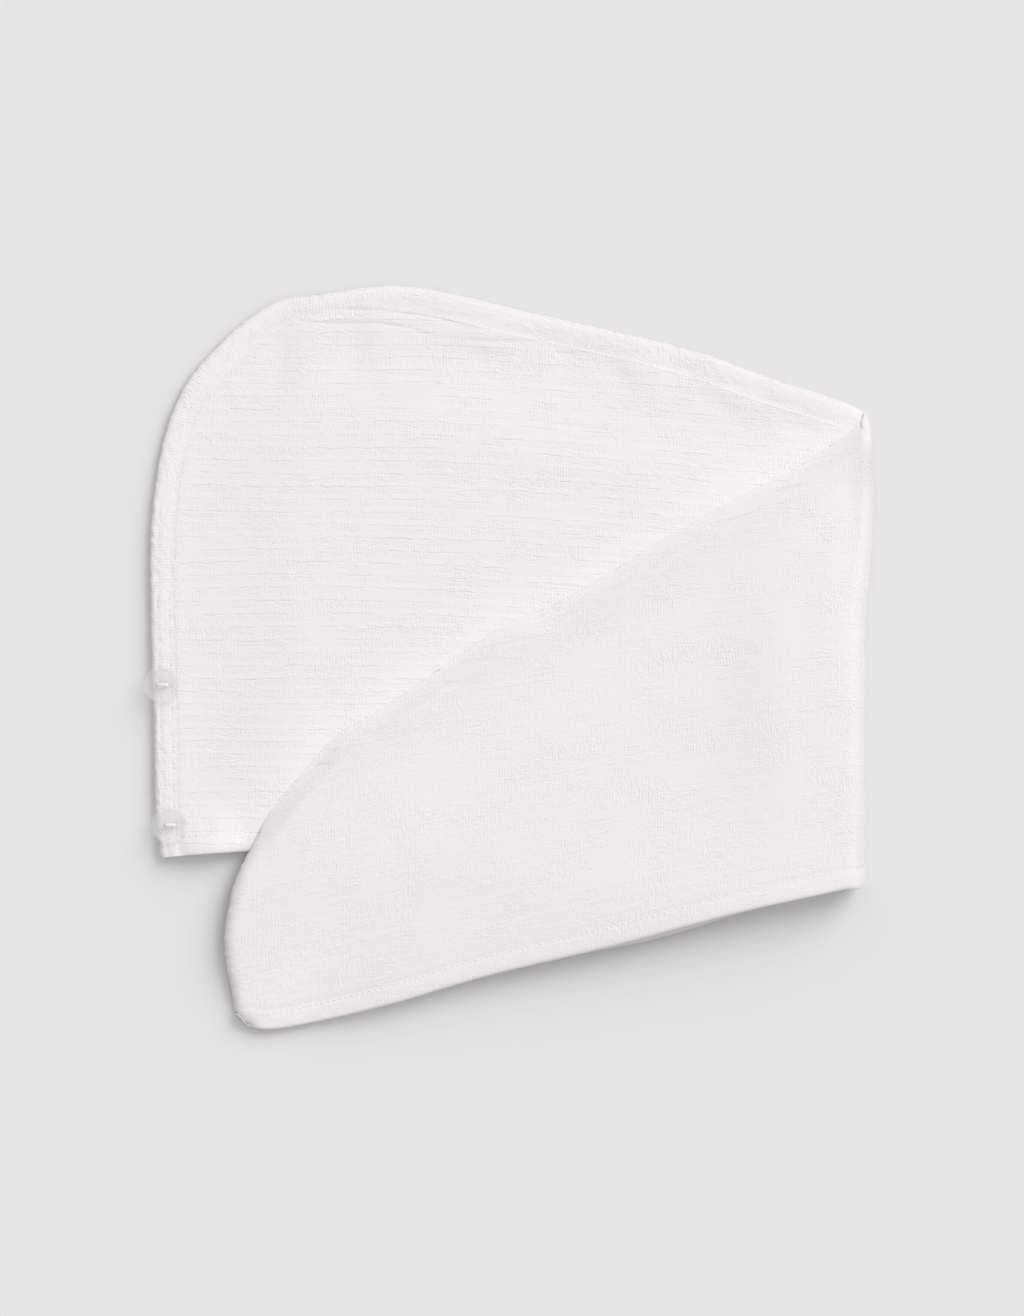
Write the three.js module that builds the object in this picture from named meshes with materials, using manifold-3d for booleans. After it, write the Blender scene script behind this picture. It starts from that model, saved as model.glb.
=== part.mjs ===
// Hair turban towel: two cloth panels sewn along one curved edge and open along the other, lying flat
// with the tail folded back over the hood. Two clear buttons sit on the seam band at the nape.
// Units are millimetres, +Z is up, and the origin is on the surface below the middle of the outline.
import * as THREE from 'three';
import { mergeVertices } from 'three/addons/utils/BufferGeometryUtils.js';
import Module from 'manifold-3d';

const wasm = await Module();
wasm.setup();
const { lerp, smoothstep } = THREE.MathUtils;

// Outline sizes
const HOOD_LENGTH = 343.4; // nape edge to the fold
const HOOD_HEIGHT = 272; // hem of the hood to the crown
const FOLD_HEIGHT = 207.6; // hem of the hood to the top of the fold
const FOLD_DROP = 12.8; // how far the lower end of the fold lies below the hem of the hood
const FOLD_LEAN = 4; // how far the fold leans in towards its lower end
const TAIL_LENGTH = 308.3; // fold to the tail's end
const TAIL_DROP = 81.7; // how far the tail reaches below the hem of the hood

// Cloth sizes
const CLOTH = 2; // thickness of a panel
const LOFT = 5.6; // open height inside the pocket
const SEAT = 0.3; // clearance between pieces that touch
const BAND_SEAT = 0.4; // clearance under the seam band, which bends with the panel
const SEAM_GAP = 0.4; // clearance between the panels where they are sewn
const LAYER_GAP = 0.6; // clearance between the hood and the tail that lies on it
const SWELL = 30; // width over which the pocket opens beside the seam band
const LEVEL = 10; // how far past the hood's hem the tail stays level
const DROOP = 45; // length over which it then comes down to the surface
const DENT = 1.2; // depth of the deepest soft dent

// Trim sizes
const BAND_WIDTH = 12.5;
const BAND_THICKNESS = 1.4;
const HEM_WIDTH = 9.5;
const HEM_EXTRA = 0.6; // how much thicker a turned hem is than its panel
const HEM_PEEK = 1.9; // how far the inner hem shows past the outer one on the tail

// Button sizes
const BUTTON_DIAMETER = 18;
const BUTTON_THICKNESS = 2.6;
const BUTTON_RIM = 1.6; // width of the raised rim
const BUTTON_DISH = 0.7; // how far the face lies below the rim
const UPPER_BUTTON_INSET = 5; // button centre from the nape edge
const LOWER_BUTTON_INSET = 6.4;
const UPPER_BUTTON_HEIGHT = 82.4; // button centre above the nape corner
const LOWER_BUTTON_HEIGHT = 15.7;
const HOLE_SPACING = 4.8;
const HOLE_DIAMETER = 2.4;
const THREAD_DIAMETER = 1;

// Mesh density
const HOOD_COLUMNS = 28;
const TAIL_COLUMNS = 25;
const BEND_COLUMNS = 6;
const PANEL_ROWS = 14;
const TRIM_STEP = 11; // length of one cell along the seam band
const CURVE_STEPS = 8; // samples between two rows of an outline table
const BUTTON_SIDES = 24;
const HOLE_SIDES = 10;
const THREAD_SIDES = 8;
const THREAD_STEPS = 12;

// Seam of the hood, from the nape corner up the nape edge, over the crown and down to the fold.
// along: share of the length to the bend, up: share of HOOD_HEIGHT, fall: share of the way down from
// HOOD_HEIGHT to FOLD_HEIGHT.
const HOOD_SEAM = [
  { along: 0.014, up: 0, fall: 0 },
  { along: 0.007, up: 0.084, fall: 0 },
  { along: 0.004, up: 0.241, fall: 0 },
  { along: 0, up: 0.416, fall: 0 },
  { along: 0.001, up: 0.59, fall: 0 },
  { along: 0.021, up: 0.744, fall: 0 },
  { along: 0.049, up: 0.828, fall: 0 },
  { along: 0.086, up: 0.884, fall: 0 },
  { along: 0.132, up: 0.938, fall: 0 },
  { along: 0.185, up: 0.976, fall: 0 },
  { along: 0.24, up: 0.985, fall: 0 },
  { along: 0.331, up: 1, fall: 0 },
  { along: 0.409, up: 1, fall: 0.042 },
  { along: 0.521, up: 1, fall: 0.182 },
  { along: 0.634, up: 1, fall: 0.313 },
  { along: 0.775, up: 1, fall: 0.498 },
  { along: 0.859, up: 1, fall: 0.659 },
  { along: 0.972, up: 1, fall: 0.853 },
  { along: 1, up: 1, fall: 0.919 },
];
const CROWN_ROW = 7; // row of HOOD_SEAM where the nape edge turns into the crown

// Hem of the hood, from the nape corner to the fold. drop: share of FOLD_DROP.
const HOOD_HEM = [
  { along: 0.133, drop: -0.22 },
  { along: 0.36, drop: -0.33 },
  { along: 0.59, drop: -0.26 },
  { along: 0.79, drop: 0.04 },
  { along: 0.908, drop: 0.37 },
  { along: 1, drop: 0.85 },
];

// Seam of the tail, from its lower corner round the end and up the diagonal edge to the fold.
// along: share of the length from the bend, drop: share of TAIL_DROP, rise: share of FOLD_HEIGHT.
const TAIL_SEAM = [
  { along: 0.962, drop: 0.988, rise: 0 },
  { along: 0.981, drop: 0.919, rise: 0 },
  { along: 0.989, drop: 0.779, rise: 0 },
  { along: 1, drop: 0.5, rise: 0 },
  { along: 0.995, drop: 0.326, rise: 0 },
  { along: 0.983, drop: 0.128, rise: 0 },
  { along: 0.961, drop: 0, rise: 0.014 },
  { along: 0.924, drop: 0, rise: 0.112 },
  { along: 0.868, drop: 0, rise: 0.208 },
  { along: 0.825, drop: 0, rise: 0.277 },
  { along: 0.748, drop: 0, rise: 0.346 },
  { along: 0.652, drop: 0, rise: 0.442 },
  { along: 0.563, drop: 0, rise: 0.529 },
  { along: 0.486, drop: 0, rise: 0.577 },
  { along: 0.39, drop: 0, rise: 0.657 },
  { along: 0.281, drop: 0, rise: 0.755 },
  { along: 0.185, drop: 0, rise: 0.831 },
  { along: 0.1, drop: 0, rise: 0.895 },
  { along: 0, drop: 0, rise: 0.993 },
];
const TAIL_CORNER_ROW = 6; // row of TAIL_SEAM where the end turns into the diagonal edge

// Hem of the tail, from the fold to the lower corner. drop: share of TAIL_DROP.
const TAIL_HEM = [
  { along: 0, drop: 0.18 },
  { along: 0.168, drop: 0.314 },
  { along: 0.374, drop: 0.512 },
  { along: 0.581, drop: 0.692 },
  { along: 0.735, drop: 0.855 },
  { along: 0.865, drop: 0.965 },
  { along: 0.929, drop: 1 },
];
const PEEK_START = 0.16; // share of the tail's hem where the inner hem starts to show
const PEEK_END = 0.44;

// Soft dents in the upper face of the hood. along, length: shares of HOOD_LENGTH; up, width: shares of
// HOOD_HEIGHT; turn: degrees from the length, anticlockwise; depth: share of DENT.
const HOOD_DENTS = [
  { along: 0.184, up: 0.885, length: 0.035, width: 0.075, turn: 0, depth: 1 },
  { along: 0.29, up: 0.89, length: 0.032, width: 0.05, turn: 0, depth: 0.8 },
  { along: 0.442, up: 0.885, length: 0.075, width: 0.026, turn: -14, depth: 0.9 },
  { along: 0.655, up: 0.84, length: 0.055, width: 0.032, turn: -38, depth: 1 },
  { along: 0.8, up: 0.785, length: 0.062, width: 0.026, turn: -28, depth: 1 },
];
// Soft dents in the upper face of the tail, in the same shares.
const TAIL_DENTS = [
  { along: 0.835, up: 0.24, length: 0.04, width: 0.13, turn: 0, depth: 0.45 },
  { along: 0.44, up: -0.075, length: 0.075, width: 0.075, turn: 0, depth: 0.45 },
];

// Heights that follow from the cloth
const BAND_RISE = BAND_THICKNESS + BAND_SEAT;
const BAND_MARGIN = 2; // the panels stay flat this far past the seam band
const BAND_FADE = 24; // width over which a panel comes back down beside the seam band
const CORNER_EASE = 2.4; // extra clearance where the seams lie on each other at the fold
const CORNER_REACH = 62;

function bump(distance, start, width) {
  return 1 - smoothstep(distance, start, start + width);
}

function pocketGap(seamDistance) {
  return lerp(LOFT, SEAM_GAP, bump(seamDistance, BAND_WIDTH + BAND_MARGIN, SWELL));
}

// 0 where the pocket is sewn shut, 1 where it is fully open
function openShare(gap) {
  return (gap - SEAM_GAP) / (LOFT - SEAM_GAP);
}

function bandRise(seamDistance) {
  return BAND_RISE * bump(seamDistance, BAND_WIDTH + BAND_MARGIN * 2, BAND_FADE);
}

// Clearance between the hood and the tail, from their distances to their seams
function layerGap(hoodDistance, tailDistance) {
  const corner = CORNER_EASE * bump(hoodDistance, 0, CORNER_REACH);
  return LAYER_GAP + bandRise(hoodDistance) + bandRise(tailDistance) + corner;
}

// How far the fold reaches past the axis of its bend
function bendReach(seamDistance) {
  return 2 * CLOTH + pocketGap(seamDistance) + layerGap(seamDistance, seamDistance) / 2;
}

// The fold's outer edge, which leans in towards its lower end
function foldEdge(y) {
  return HOOD_LENGTH - FOLD_LEAN * bump(y / FOLD_HEIGHT, 0.5, 0.25);
}

function bendAxis(y) {
  return foldEdge(y) - bendReach(Math.max(FOLD_HEIGHT - y, 0));
}

// An outline curve through table points, measured along its length
class Edge {
  constructor(points) {
    const curve = new THREE.CatmullRomCurve3(points, false, 'centripetal');
    this.points = curve.getPoints(CURVE_STEPS * (points.length - 1));
    this.lengths = [0];
    for (let i = 1; i < this.points.length; i += 1) {
      this.lengths.push(this.lengths[i - 1] + this.points[i].distanceTo(this.points[i - 1]));
    }
    this.length = this.lengths[this.lengths.length - 1];
  }

  rowDistance(row) {
    return this.lengths[row * CURVE_STEPS];
  }

  span(distance) {
    let i = 1;
    while (i < this.points.length - 1 && this.lengths[i] < distance) {
      i += 1;
    }
    return i;
  }

  at(distance) {
    const i = this.span(distance);
    const share = (distance - this.lengths[i - 1]) / (this.lengths[i] - this.lengths[i - 1]);
    return new THREE.Vector3().lerpVectors(this.points[i - 1], this.points[i], share);
  }

  // Points to the right of the direction of travel, which is into the cloth on both seams
  inward(distance) {
    const i = this.span(distance);
    const along = new THREE.Vector3().subVectors(this.points[i], this.points[i - 1]).normalize();
    return new THREE.Vector3(along.y, -along.x, 0);
  }

  distanceTo(x, y) {
    let nearest = Infinity;
    for (let i = 1; i < this.points.length; i += 1) {
      const a = this.points[i - 1];
      const b = this.points[i];
      const dx = b.x - a.x;
      const dy = b.y - a.y;
      const share = THREE.MathUtils.clamp(
        ((x - a.x) * dx + (y - a.y) * dy) / (dx * dx + dy * dy), 0, 1);
      nearest = Math.min(nearest, Math.hypot(x - a.x - dx * share, y - a.y - dy * share));
    }
    return nearest;
  }
}

const AXIS_TOP = bendAxis(FOLD_HEIGHT);
const AXIS_BOTTOM = bendAxis(-FOLD_DROP);
const TAIL_END = HOOD_LENGTH - TAIL_LENGTH;

const hoodSeam = new Edge(HOOD_SEAM.map(({ along, up, fall }) =>
  new THREE.Vector3(AXIS_TOP * along, HOOD_HEIGHT * up - (HOOD_HEIGHT - FOLD_HEIGHT) * fall, 0)));
const tailSeam = new Edge(TAIL_SEAM.map(({ along, drop, rise }) =>
  new THREE.Vector3(lerp(AXIS_TOP, TAIL_END, along), FOLD_HEIGHT * rise - TAIL_DROP * drop, 0)));
const hoodHem = new Edge([hoodSeam.at(0), ...HOOD_HEM.map(({ along, drop }) =>
  new THREE.Vector3(AXIS_BOTTOM * along, -FOLD_DROP * drop, 0))]);
const tailHem = new Edge([...TAIL_HEM.map(({ along, drop }) =>
  new THREE.Vector3(lerp(AXIS_BOTTOM, TAIL_END, along), -TAIL_DROP * drop, 0)), tailSeam.at(0)]);

// Height of the hood's hem line at a place along it
function hemLine(x) {
  let i = 1;
  while (i < hoodHem.points.length - 1 && hoodHem.points[i].x < x) {
    i += 1;
  }
  const a = hoodHem.points[i - 1];
  const b = hoodHem.points[i];
  return lerp(a.y, b.y, THREE.MathUtils.clamp((x - a.x) / (b.x - a.x), 0, 1));
}

function dentDepth(dents, x, y) {
  let depth = 0;
  for (const dent of dents) {
    const dx = x - dent.along * HOOD_LENGTH;
    const dy = y - dent.up * HOOD_HEIGHT;
    const turn = THREE.MathUtils.degToRad(dent.turn);
    const a = (dx * Math.cos(turn) + dy * Math.sin(turn)) / (dent.length * HOOD_LENGTH);
    const b = (dy * Math.cos(turn) - dx * Math.sin(turn)) / (dent.width * HOOD_HEIGHT);
    depth += DENT * dent.depth * Math.exp(-(a * a + b * b));
  }
  return depth;
}

// A site is a place on the middle surface of the pocket, with the gap between the panels there.
// turn runs from 0 on the hood through the bend to PI on the tail.
function hoodSite(x, y) {
  const seamDistance = hoodSeam.distanceTo(x, y);
  const gap = pocketGap(seamDistance);
  const dent = dentDepth(HOOD_DENTS, x, y) * openShare(gap);
  return { x, y, gap, turn: 0, low: CLOTH + gap / 2, high: 0, dent };
}

function tailSite(x, y) {
  const hoodDistance = hoodSeam.distanceTo(x, y);
  const tailDistance = tailSeam.distanceTo(x, y);
  const gap = pocketGap(tailDistance);
  const past = hemLine(x) - y;
  const resting = bump(past, LEVEL, DROOP);
  const hoodTop = 2 * CLOTH + pocketGap(hoodDistance);
  const overHood = hoodTop + layerGap(hoodDistance, tailDistance);
  const base = lerp(bandRise(tailDistance), overHood, resting);
  const dent = dentDepth(TAIL_DENTS, x, y) * openShare(gap);
  return { x, y, gap, turn: Math.PI, low: 0, high: base + CLOTH + gap / 2, dent };
}

function bendSite(hood, tail, share) {
  return {
    x: lerp(hood.x, tail.x, share),
    y: lerp(hood.y, tail.y, share),
    gap: lerp(hood.gap, tail.gap, share),
    turn: Math.PI * share,
    low: hood.low,
    high: tail.high,
    dent: 0,
  };
}

// The point at an offset from a site, where positive offsets lie on the inside of the fold
function lay(site, offset) {
  if (site.turn === 0) {
    return new THREE.Vector3(site.x, site.y, site.low + offset);
  }
  if (site.turn === Math.PI) {
    return new THREE.Vector3(site.x, site.y, site.high - offset);
  }
  const radius = (site.high - site.low) / 2 - offset;
  const middle = (site.high + site.low) / 2;
  return new THREE.Vector3(
    site.x + radius * Math.sin(site.turn), site.y, middle - radius * Math.cos(site.turn));
}

// A column of sites for each station from the nape to the tail's end, with the bend between
function joinColumns(hoodColumns, tailColumns) {
  const last = hoodColumns[hoodColumns.length - 1];
  const bend = [];
  for (let k = 1; k < BEND_COLUMNS; k += 1) {
    bend.push(last.map((site, j) => bendSite(site, tailColumns[0][j], k / BEND_COLUMNS)));
  }
  return [...hoodColumns, ...bend, ...tailColumns];
}

// A four-sided patch blended from its edges, where each edge is a function of a share
function patch(lower, upper, start, end) {
  const corners = [lower(0), lower(1), upper(0), upper(1)];
  return (u, v) => {
    const point = new THREE.Vector3();
    point.addScaledVector(lower(u), 1 - v).addScaledVector(upper(u), v);
    point.addScaledVector(start(v), 1 - u).addScaledVector(end(v), u);
    point.addScaledVector(corners[0], -(1 - u) * (1 - v)).addScaledVector(corners[1], -u * (1 - v));
    point.addScaledVector(corners[2], -(1 - u) * v).addScaledVector(corners[3], -u * v);
    return point;
  };
}

// The direction across a hem, blended from its seam end to its fold end
function hemAcross(seam, share) {
  const atSeam = new THREE.Vector3().subVectors(seam.at(HEM_WIDTH), seam.at(0)).normalize();
  return atSeam.lerp(new THREE.Vector3(0, 1, 0), share).normalize();
}

// Places on the hood's hem and on the tail's hem, a distance in from the edge
function hoodHemPlace(share, inset) {
  return hoodHem.at(hoodHem.length * share).addScaledVector(hemAcross(hoodSeam, share), inset);
}

function tailHemPlace(share, inset) {
  return tailHem.at(tailHem.length * share).addScaledVector(hemAcross(tailSeam, 1 - share), inset);
}

// The line along the bend's axis between two heights
function axisLine(from, to) {
  return (share) => {
    const y = lerp(from.y, to.y, share);
    const ends = lerp(from.x - bendAxis(from.y), to.x - bendAxis(to.y), share);
    return new THREE.Vector3(bendAxis(y) + ends, y, 0);
  };
}

const PANEL_INSET = HEM_WIDTH + SEAT; // a panel's cloth starts here, behind its turned hem

const hoodPatch = patch(
  (u) => hoodHemPlace(u, PANEL_INSET),
  (u) => hoodSeam.at(lerp(hoodSeam.rowDistance(CROWN_ROW), hoodSeam.length, u)),
  (v) => hoodSeam.at(lerp(PANEL_INSET, hoodSeam.rowDistance(CROWN_ROW), v)),
  axisLine(hoodHemPlace(1, PANEL_INSET), hoodSeam.at(hoodSeam.length)),
);
const tailPatch = patch(
  (u) => tailHemPlace(u, PANEL_INSET),
  (u) => tailSeam.at(lerp(tailSeam.length, tailSeam.rowDistance(TAIL_CORNER_ROW), u)),
  axisLine(tailHemPlace(0, PANEL_INSET), tailSeam.at(tailSeam.length)),
  (v) => tailSeam.at(lerp(PANEL_INSET, tailSeam.rowDistance(TAIL_CORNER_ROW), v)),
);

// Shares from 0 to 1 that lie closer together near 0
function closeAtStart(count, power) {
  return Array.from({ length: count + 1 }, (_, i) => (i / count) ** power);
}

const upShares = closeAtStart(PANEL_ROWS, 1.3).map((share) => 1 - share).reverse();
const hoodShares = closeAtStart(HOOD_COLUMNS, 1.2);
const tailShares = closeAtStart(TAIL_COLUMNS, 1.2).map((share) => 1 - share).reverse();

function panelColumns() {
  const column = (surface, site, u) => upShares.map((v) => {
    const place = surface(u, v);
    return site(place.x, place.y);
  });
  return joinColumns(
    hoodShares.map((u) => column(hoodPatch, hoodSite, u)),
    tailShares.map((u) => column(tailPatch, tailSite, u)),
  );
}

function hemColumns(peek) {
  const column = (place, site, share, inset) => [inset, HEM_WIDTH].map((distance) => {
    const point = place(share, distance);
    return site(point.x, point.y);
  });
  const shown = (share) =>
    Math.sin(Math.PI * THREE.MathUtils.clamp((share - PEEK_START) / (PEEK_END - PEEK_START), 0, 1));
  return joinColumns(
    hoodShares.map((share) => column(hoodHemPlace, hoodSite, share, 0)),
    tailShares.map((share) => column(tailHemPlace, tailSite, share, -peek * shown(share))),
  );
}

function bandColumns() {
  const straighten = 3 * BAND_WIDTH; // near the fold the band's width turns to lie along the fold
  const columns = (seam, site) => {
    const count = Math.round(seam.length / TRIM_STEP);
    return Array.from({ length: count + 1 }, (_, i) => {
      const distance = (seam.length * i) / count;
      const across = new THREE.Vector3(0, -1, 0);
      across.lerp(seam.inward(distance), smoothstep(seam.length - distance, 0, straighten)).normalize();
      return [0, BAND_WIDTH / 2, BAND_WIDTH].map((inset) => {
        const place = seam.at(distance).addScaledVector(across, inset);
        return site(place.x, place.y);
      });
    });
  };
  return joinColumns(columns(hoodSeam, hoodSite), columns(tailSeam, tailSite).reverse());
}

// Six times the signed volume, to turn a mesh the right way out
function signedVolume(points, faces) {
  let sum = 0;
  const cross = new THREE.Vector3();
  for (const [a, b, c] of faces) {
    sum += points[a].dot(cross.crossVectors(points[b], points[c]));
  }
  return sum;
}

// A closed sheet of cloth between two offsets from the same columns of sites
function sheet(columns, outerOffset, innerOffset) {
  const count = columns.length;
  const rows = columns[0].length;
  const end = count - 1;
  const last = rows - 1;
  const points = [];
  for (const offset of [outerOffset, innerOffset]) {
    for (const column of columns) {
      for (const site of column) {
        points.push(lay(site, offset(site)));
      }
    }
  }
  const index = (side, i, j) => side * count * rows + i * rows + j;
  const faces = [];
  const quad = (a, b, c, d) => faces.push([a, b, c], [a, c, d]);
  for (let i = 0; i < end; i += 1) {
    for (let j = 0; j < last; j += 1) {
      quad(index(0, i, j), index(0, i, j + 1), index(0, i + 1, j + 1), index(0, i + 1, j));
      quad(index(1, i, j), index(1, i + 1, j), index(1, i + 1, j + 1), index(1, i, j + 1));
    }
    quad(index(0, i, 0), index(0, i + 1, 0), index(1, i + 1, 0), index(1, i, 0));
    quad(index(0, i, last), index(1, i, last), index(1, i + 1, last), index(0, i + 1, last));
  }
  for (let j = 0; j < last; j += 1) {
    quad(index(0, 0, j + 1), index(0, 0, j), index(1, 0, j), index(1, 0, j + 1));
    quad(index(0, end, j), index(0, end, j + 1), index(1, end, j + 1), index(1, end, j));
  }
  const turned = signedVolume(points, faces) < 0 ? faces.map(([a, b, c]) => [a, c, b]) : faces;
  const coordinates = points.flatMap((p) => p.toArray());
  const geometry = new THREE.BufferGeometry();
  geometry.setAttribute('position', new THREE.Float32BufferAttribute(coordinates, 3));
  geometry.setIndex(turned.flat());
  geometry.computeVertexNormals();
  return geometry;
}

function toManifold(geometry) {
  const bare = geometry.clone();
  bare.deleteAttribute('normal');
  bare.deleteAttribute('uv');
  const merged = mergeVertices(bare);
  return new wasm.Manifold(new wasm.Mesh({
    numProp: 3,
    vertProperties: merged.attributes.position.array,
    triVerts: new Uint32Array(merged.index.array),
  }));
}

function toGeometry(manifold) {
  const mesh = manifold.getMesh();
  const geometry = new THREE.BufferGeometry();
  geometry.setAttribute('position', new THREE.BufferAttribute(mesh.vertProperties, mesh.numProp));
  geometry.setIndex(new THREE.BufferAttribute(mesh.triVerts, 1));
  geometry.computeVertexNormals();
  return geometry;
}

// A dished disc with two thread holes, standing on its own underside
function buttonGeometry() {
  const radius = BUTTON_DIAMETER / 2;
  const soft = BUTTON_THICKNESS / 4; // rounding of the outer edge
  const face = BUTTON_THICKNESS - BUTTON_DISH;
  const disc = new THREE.LatheGeometry([
    new THREE.Vector2(0, 0),
    new THREE.Vector2(radius - 2 * soft, 0),
    new THREE.Vector2(radius, 1.5 * soft),
    new THREE.Vector2(radius, BUTTON_THICKNESS - soft),
    new THREE.Vector2(radius - soft, BUTTON_THICKNESS),
    new THREE.Vector2(radius - BUTTON_RIM, BUTTON_THICKNESS),
    new THREE.Vector2(radius - 1.6 * BUTTON_RIM, face),
    new THREE.Vector2(0, face),
  ], BUTTON_SIDES).rotateX(Math.PI / 2);
  let solid = toManifold(disc);
  for (const side of [-1, 1]) {
    const hole = new THREE.CylinderGeometry(
      HOLE_DIAMETER / 2, HOLE_DIAMETER / 2, 3 * BUTTON_THICKNESS, HOLE_SIDES);
    hole.rotateX(Math.PI / 2).translate((side * HOLE_SPACING) / 2, 0, 0);
    solid = solid.subtract(toManifold(hole));
  }
  return toGeometry(solid);
}

// The sewing thread: up through one hole, across the button's face and down through the other
function threadGeometry() {
  const half = HOLE_SPACING / 2;
  const crest = BUTTON_THICKNESS - BUTTON_DISH + SEAT + 0.75 * THREAD_DIAMETER;
  const path = new THREE.CatmullRomCurve3([
    new THREE.Vector3(-half, 0, 0),
    new THREE.Vector3(-half, 0, BUTTON_THICKNESS - BUTTON_DISH),
    new THREE.Vector3(-half / 2, 0, crest),
    new THREE.Vector3(half / 2, 0, crest),
    new THREE.Vector3(half, 0, BUTTON_THICKNESS - BUTTON_DISH),
    new THREE.Vector3(half, 0, 0),
  ], false, 'centripetal');
  const section = new THREE.Shape();
  section.absarc(0, 0, THREAD_DIAMETER / 2, 0, 2 * Math.PI);
  return new THREE.ExtrudeGeometry(section, {
    extrudePath: path,
    steps: THREAD_STEPS,
    curveSegments: THREAD_SIDES / 2,
  });
}

const clothColour = 0xf0ecec;
const clothMaterial = new THREE.MeshStandardMaterial({ color: clothColour, roughness: 0.95, metalness: 0 });
const trimMaterial = new THREE.MeshStandardMaterial({ color: 0xebe7e8, roughness: 0.95, metalness: 0 });
const threadMaterial = new THREE.MeshStandardMaterial({ color: 0xf4f2f2, roughness: 0.8, metalness: 0 });
const buttonMaterial = new THREE.MeshStandardMaterial({
  color: 0xe4e0df, roughness: 0.25, metalness: 0, transparent: true, opacity: 0.7,
});

// How much a turned hem thickens into the pocket, which fades out where the pocket is sewn shut
function hemThickness(site) {
  return CLOTH + HEM_EXTRA * openShare(site.gap);
}

const face = (site) => site.gap / 2 + CLOTH; // offset of a panel's outer face from the middle
const hoodDent = (site) => (site.turn === 0 ? site.dent : 0);
const tailDent = (site) => (site.turn === Math.PI ? site.dent : 0);

const group = new THREE.Group();

function addMesh(name, geometry, material) {
  const mesh = new THREE.Mesh(geometry, material);
  mesh.name = name;
  group.add(mesh);
  return mesh;
}

const panels = panelColumns();
addMesh('left_panel', sheet(panels,
  (site) => -face(site) + tailDent(site),
  (site) => -site.gap / 2 + tailDent(site)), clothMaterial);
addMesh('right_panel', sheet(panels,
  (site) => site.gap / 2 - hoodDent(site),
  (site) => face(site) - hoodDent(site)), clothMaterial);
addMesh('left_hem', sheet(hemColumns(0),
  (site) => -face(site),
  (site) => -face(site) + hemThickness(site)), trimMaterial);
addMesh('right_hem', sheet(hemColumns(HEM_PEEK),
  (site) => face(site) - hemThickness(site),
  (site) => face(site)), trimMaterial);
addMesh('seam_band', sheet(bandColumns(),
  (site) => face(site) + BAND_SEAT,
  (site) => face(site) + BAND_RISE), trimMaterial);

const bandTop = 2 * CLOTH + SEAM_GAP + BAND_RISE;
const buttons = [
  { name: 'upper', height: UPPER_BUTTON_HEIGHT, inset: UPPER_BUTTON_INSET },
  { name: 'lower', height: LOWER_BUTTON_HEIGHT, inset: LOWER_BUTTON_INSET },
];
for (const { name, height, inset } of buttons) {
  const edge = hoodSeam.at(height);
  const place = new THREE.Vector3(edge.x + inset, edge.y, bandTop + SEAT);
  addMesh(`button_${name}`, buttonGeometry(), buttonMaterial).position.copy(place);
  addMesh(`thread_${name}`, threadGeometry(), threadMaterial).position.copy(place);
}

// The origin lies below the middle of the outline, whose left end is the overhang of the buttons
const overhang = Math.max(BUTTON_DIAMETER / 2 - UPPER_BUTTON_INSET, 0);
group.position.set(-(HOOD_LENGTH - overhang) / 2, -(HOOD_HEIGHT - TAIL_DROP) / 2, 0);

export default group;
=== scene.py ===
"""Hair turban towel, lying flat with its tail folded back over the hood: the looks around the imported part.

Plan sizes are in millimetres from the hood's lower left corner, and new_object() turns them into metres.
"""

import math

import bmesh
import bpy
import numpy as np
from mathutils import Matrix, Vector


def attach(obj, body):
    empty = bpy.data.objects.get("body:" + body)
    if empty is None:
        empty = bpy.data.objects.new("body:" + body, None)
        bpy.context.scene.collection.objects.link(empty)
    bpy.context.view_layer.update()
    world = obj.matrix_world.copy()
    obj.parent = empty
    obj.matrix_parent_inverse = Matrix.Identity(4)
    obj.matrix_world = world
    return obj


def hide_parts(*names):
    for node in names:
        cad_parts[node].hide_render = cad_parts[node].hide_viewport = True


# Outline sizes, as in the part
HOOD_LENGTH = 343.4
HOOD_HEIGHT = 272.0
FOLD_HEIGHT = 207.6
FOLD_DROP = 12.8
FOLD_LEAN = 4.0
TAIL_LENGTH = 308.3
TAIL_DROP = 81.7
ORIGIN = (169.7, 95.15)  # the frame's origin in the plan
MM = 0.001  # a millimetre in metres

# The photo: the pixel where the plan starts, and the size of a pixel
PHOTO_LEFT = 150
PHOTO_BOTTOM = 858
PIXEL = 0.475

# Cloth sizes. A place in a pair is the start of a smooth change, with its width.
CLOTH = 2.0
LOFT = 4.6  # open height of the pocket away from its seam
SEAM_GAP = 0.4  # and at the seam
LAYER_GAP = 0.25
SWELL = 58.0  # width over which the pocket opens
LEAST_GAP = 2.4  # nearer the seam the hood's soft forms keep the height that they have at this gap
LEVEL = 10.0  # the tail stays level this far past the hood's open edge
DROOP = 80.0  # and comes down to the surface over this length
LIES = (-20, 30)  # where the tail stops lying on the hood, past that edge
BAND_WIDTH = 12.5
BAND_RISE = 0.6
BAND_FALL = 24  # width over which a layer comes down beside the band below it
HEM_WIDTH = 9.5
HEM_EXTRA = 0.6
HEM_SWELL = 0.25
HEM_PEEK = 1.9  # how far the tail's lower hem shows past its upper one
PEEK_START = 0.16  # and between which shares of the tail's length
PEEK_END = 0.44
ROLL = 3.8  # width over which the hood's sewn edge rounds off
EDGE_SHARE = 0.95  # and by which share of the cloth's thickness
TAIL_ROLL = 6.5  # and the tail's over the surface, which rolls over all its layers
TAIL_SLOPE = 11.0  # width over which the tail's edge slopes down onto the hood
ROLL_LIFT = 0.3  # the rolled edge stays this far above what it lies on
ROLL_REACH = 0.2  # and this much less where it lies on the hood
TUCK = 7.5  # how far the layers inside the tail's roll stay back
TUCK_REACH = 30  # and how far into the cloth that is felt
HEM_ROLL = 2.2
HEM_CURL = 4.5  # how far the hood's hem curls up at its free end
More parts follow.
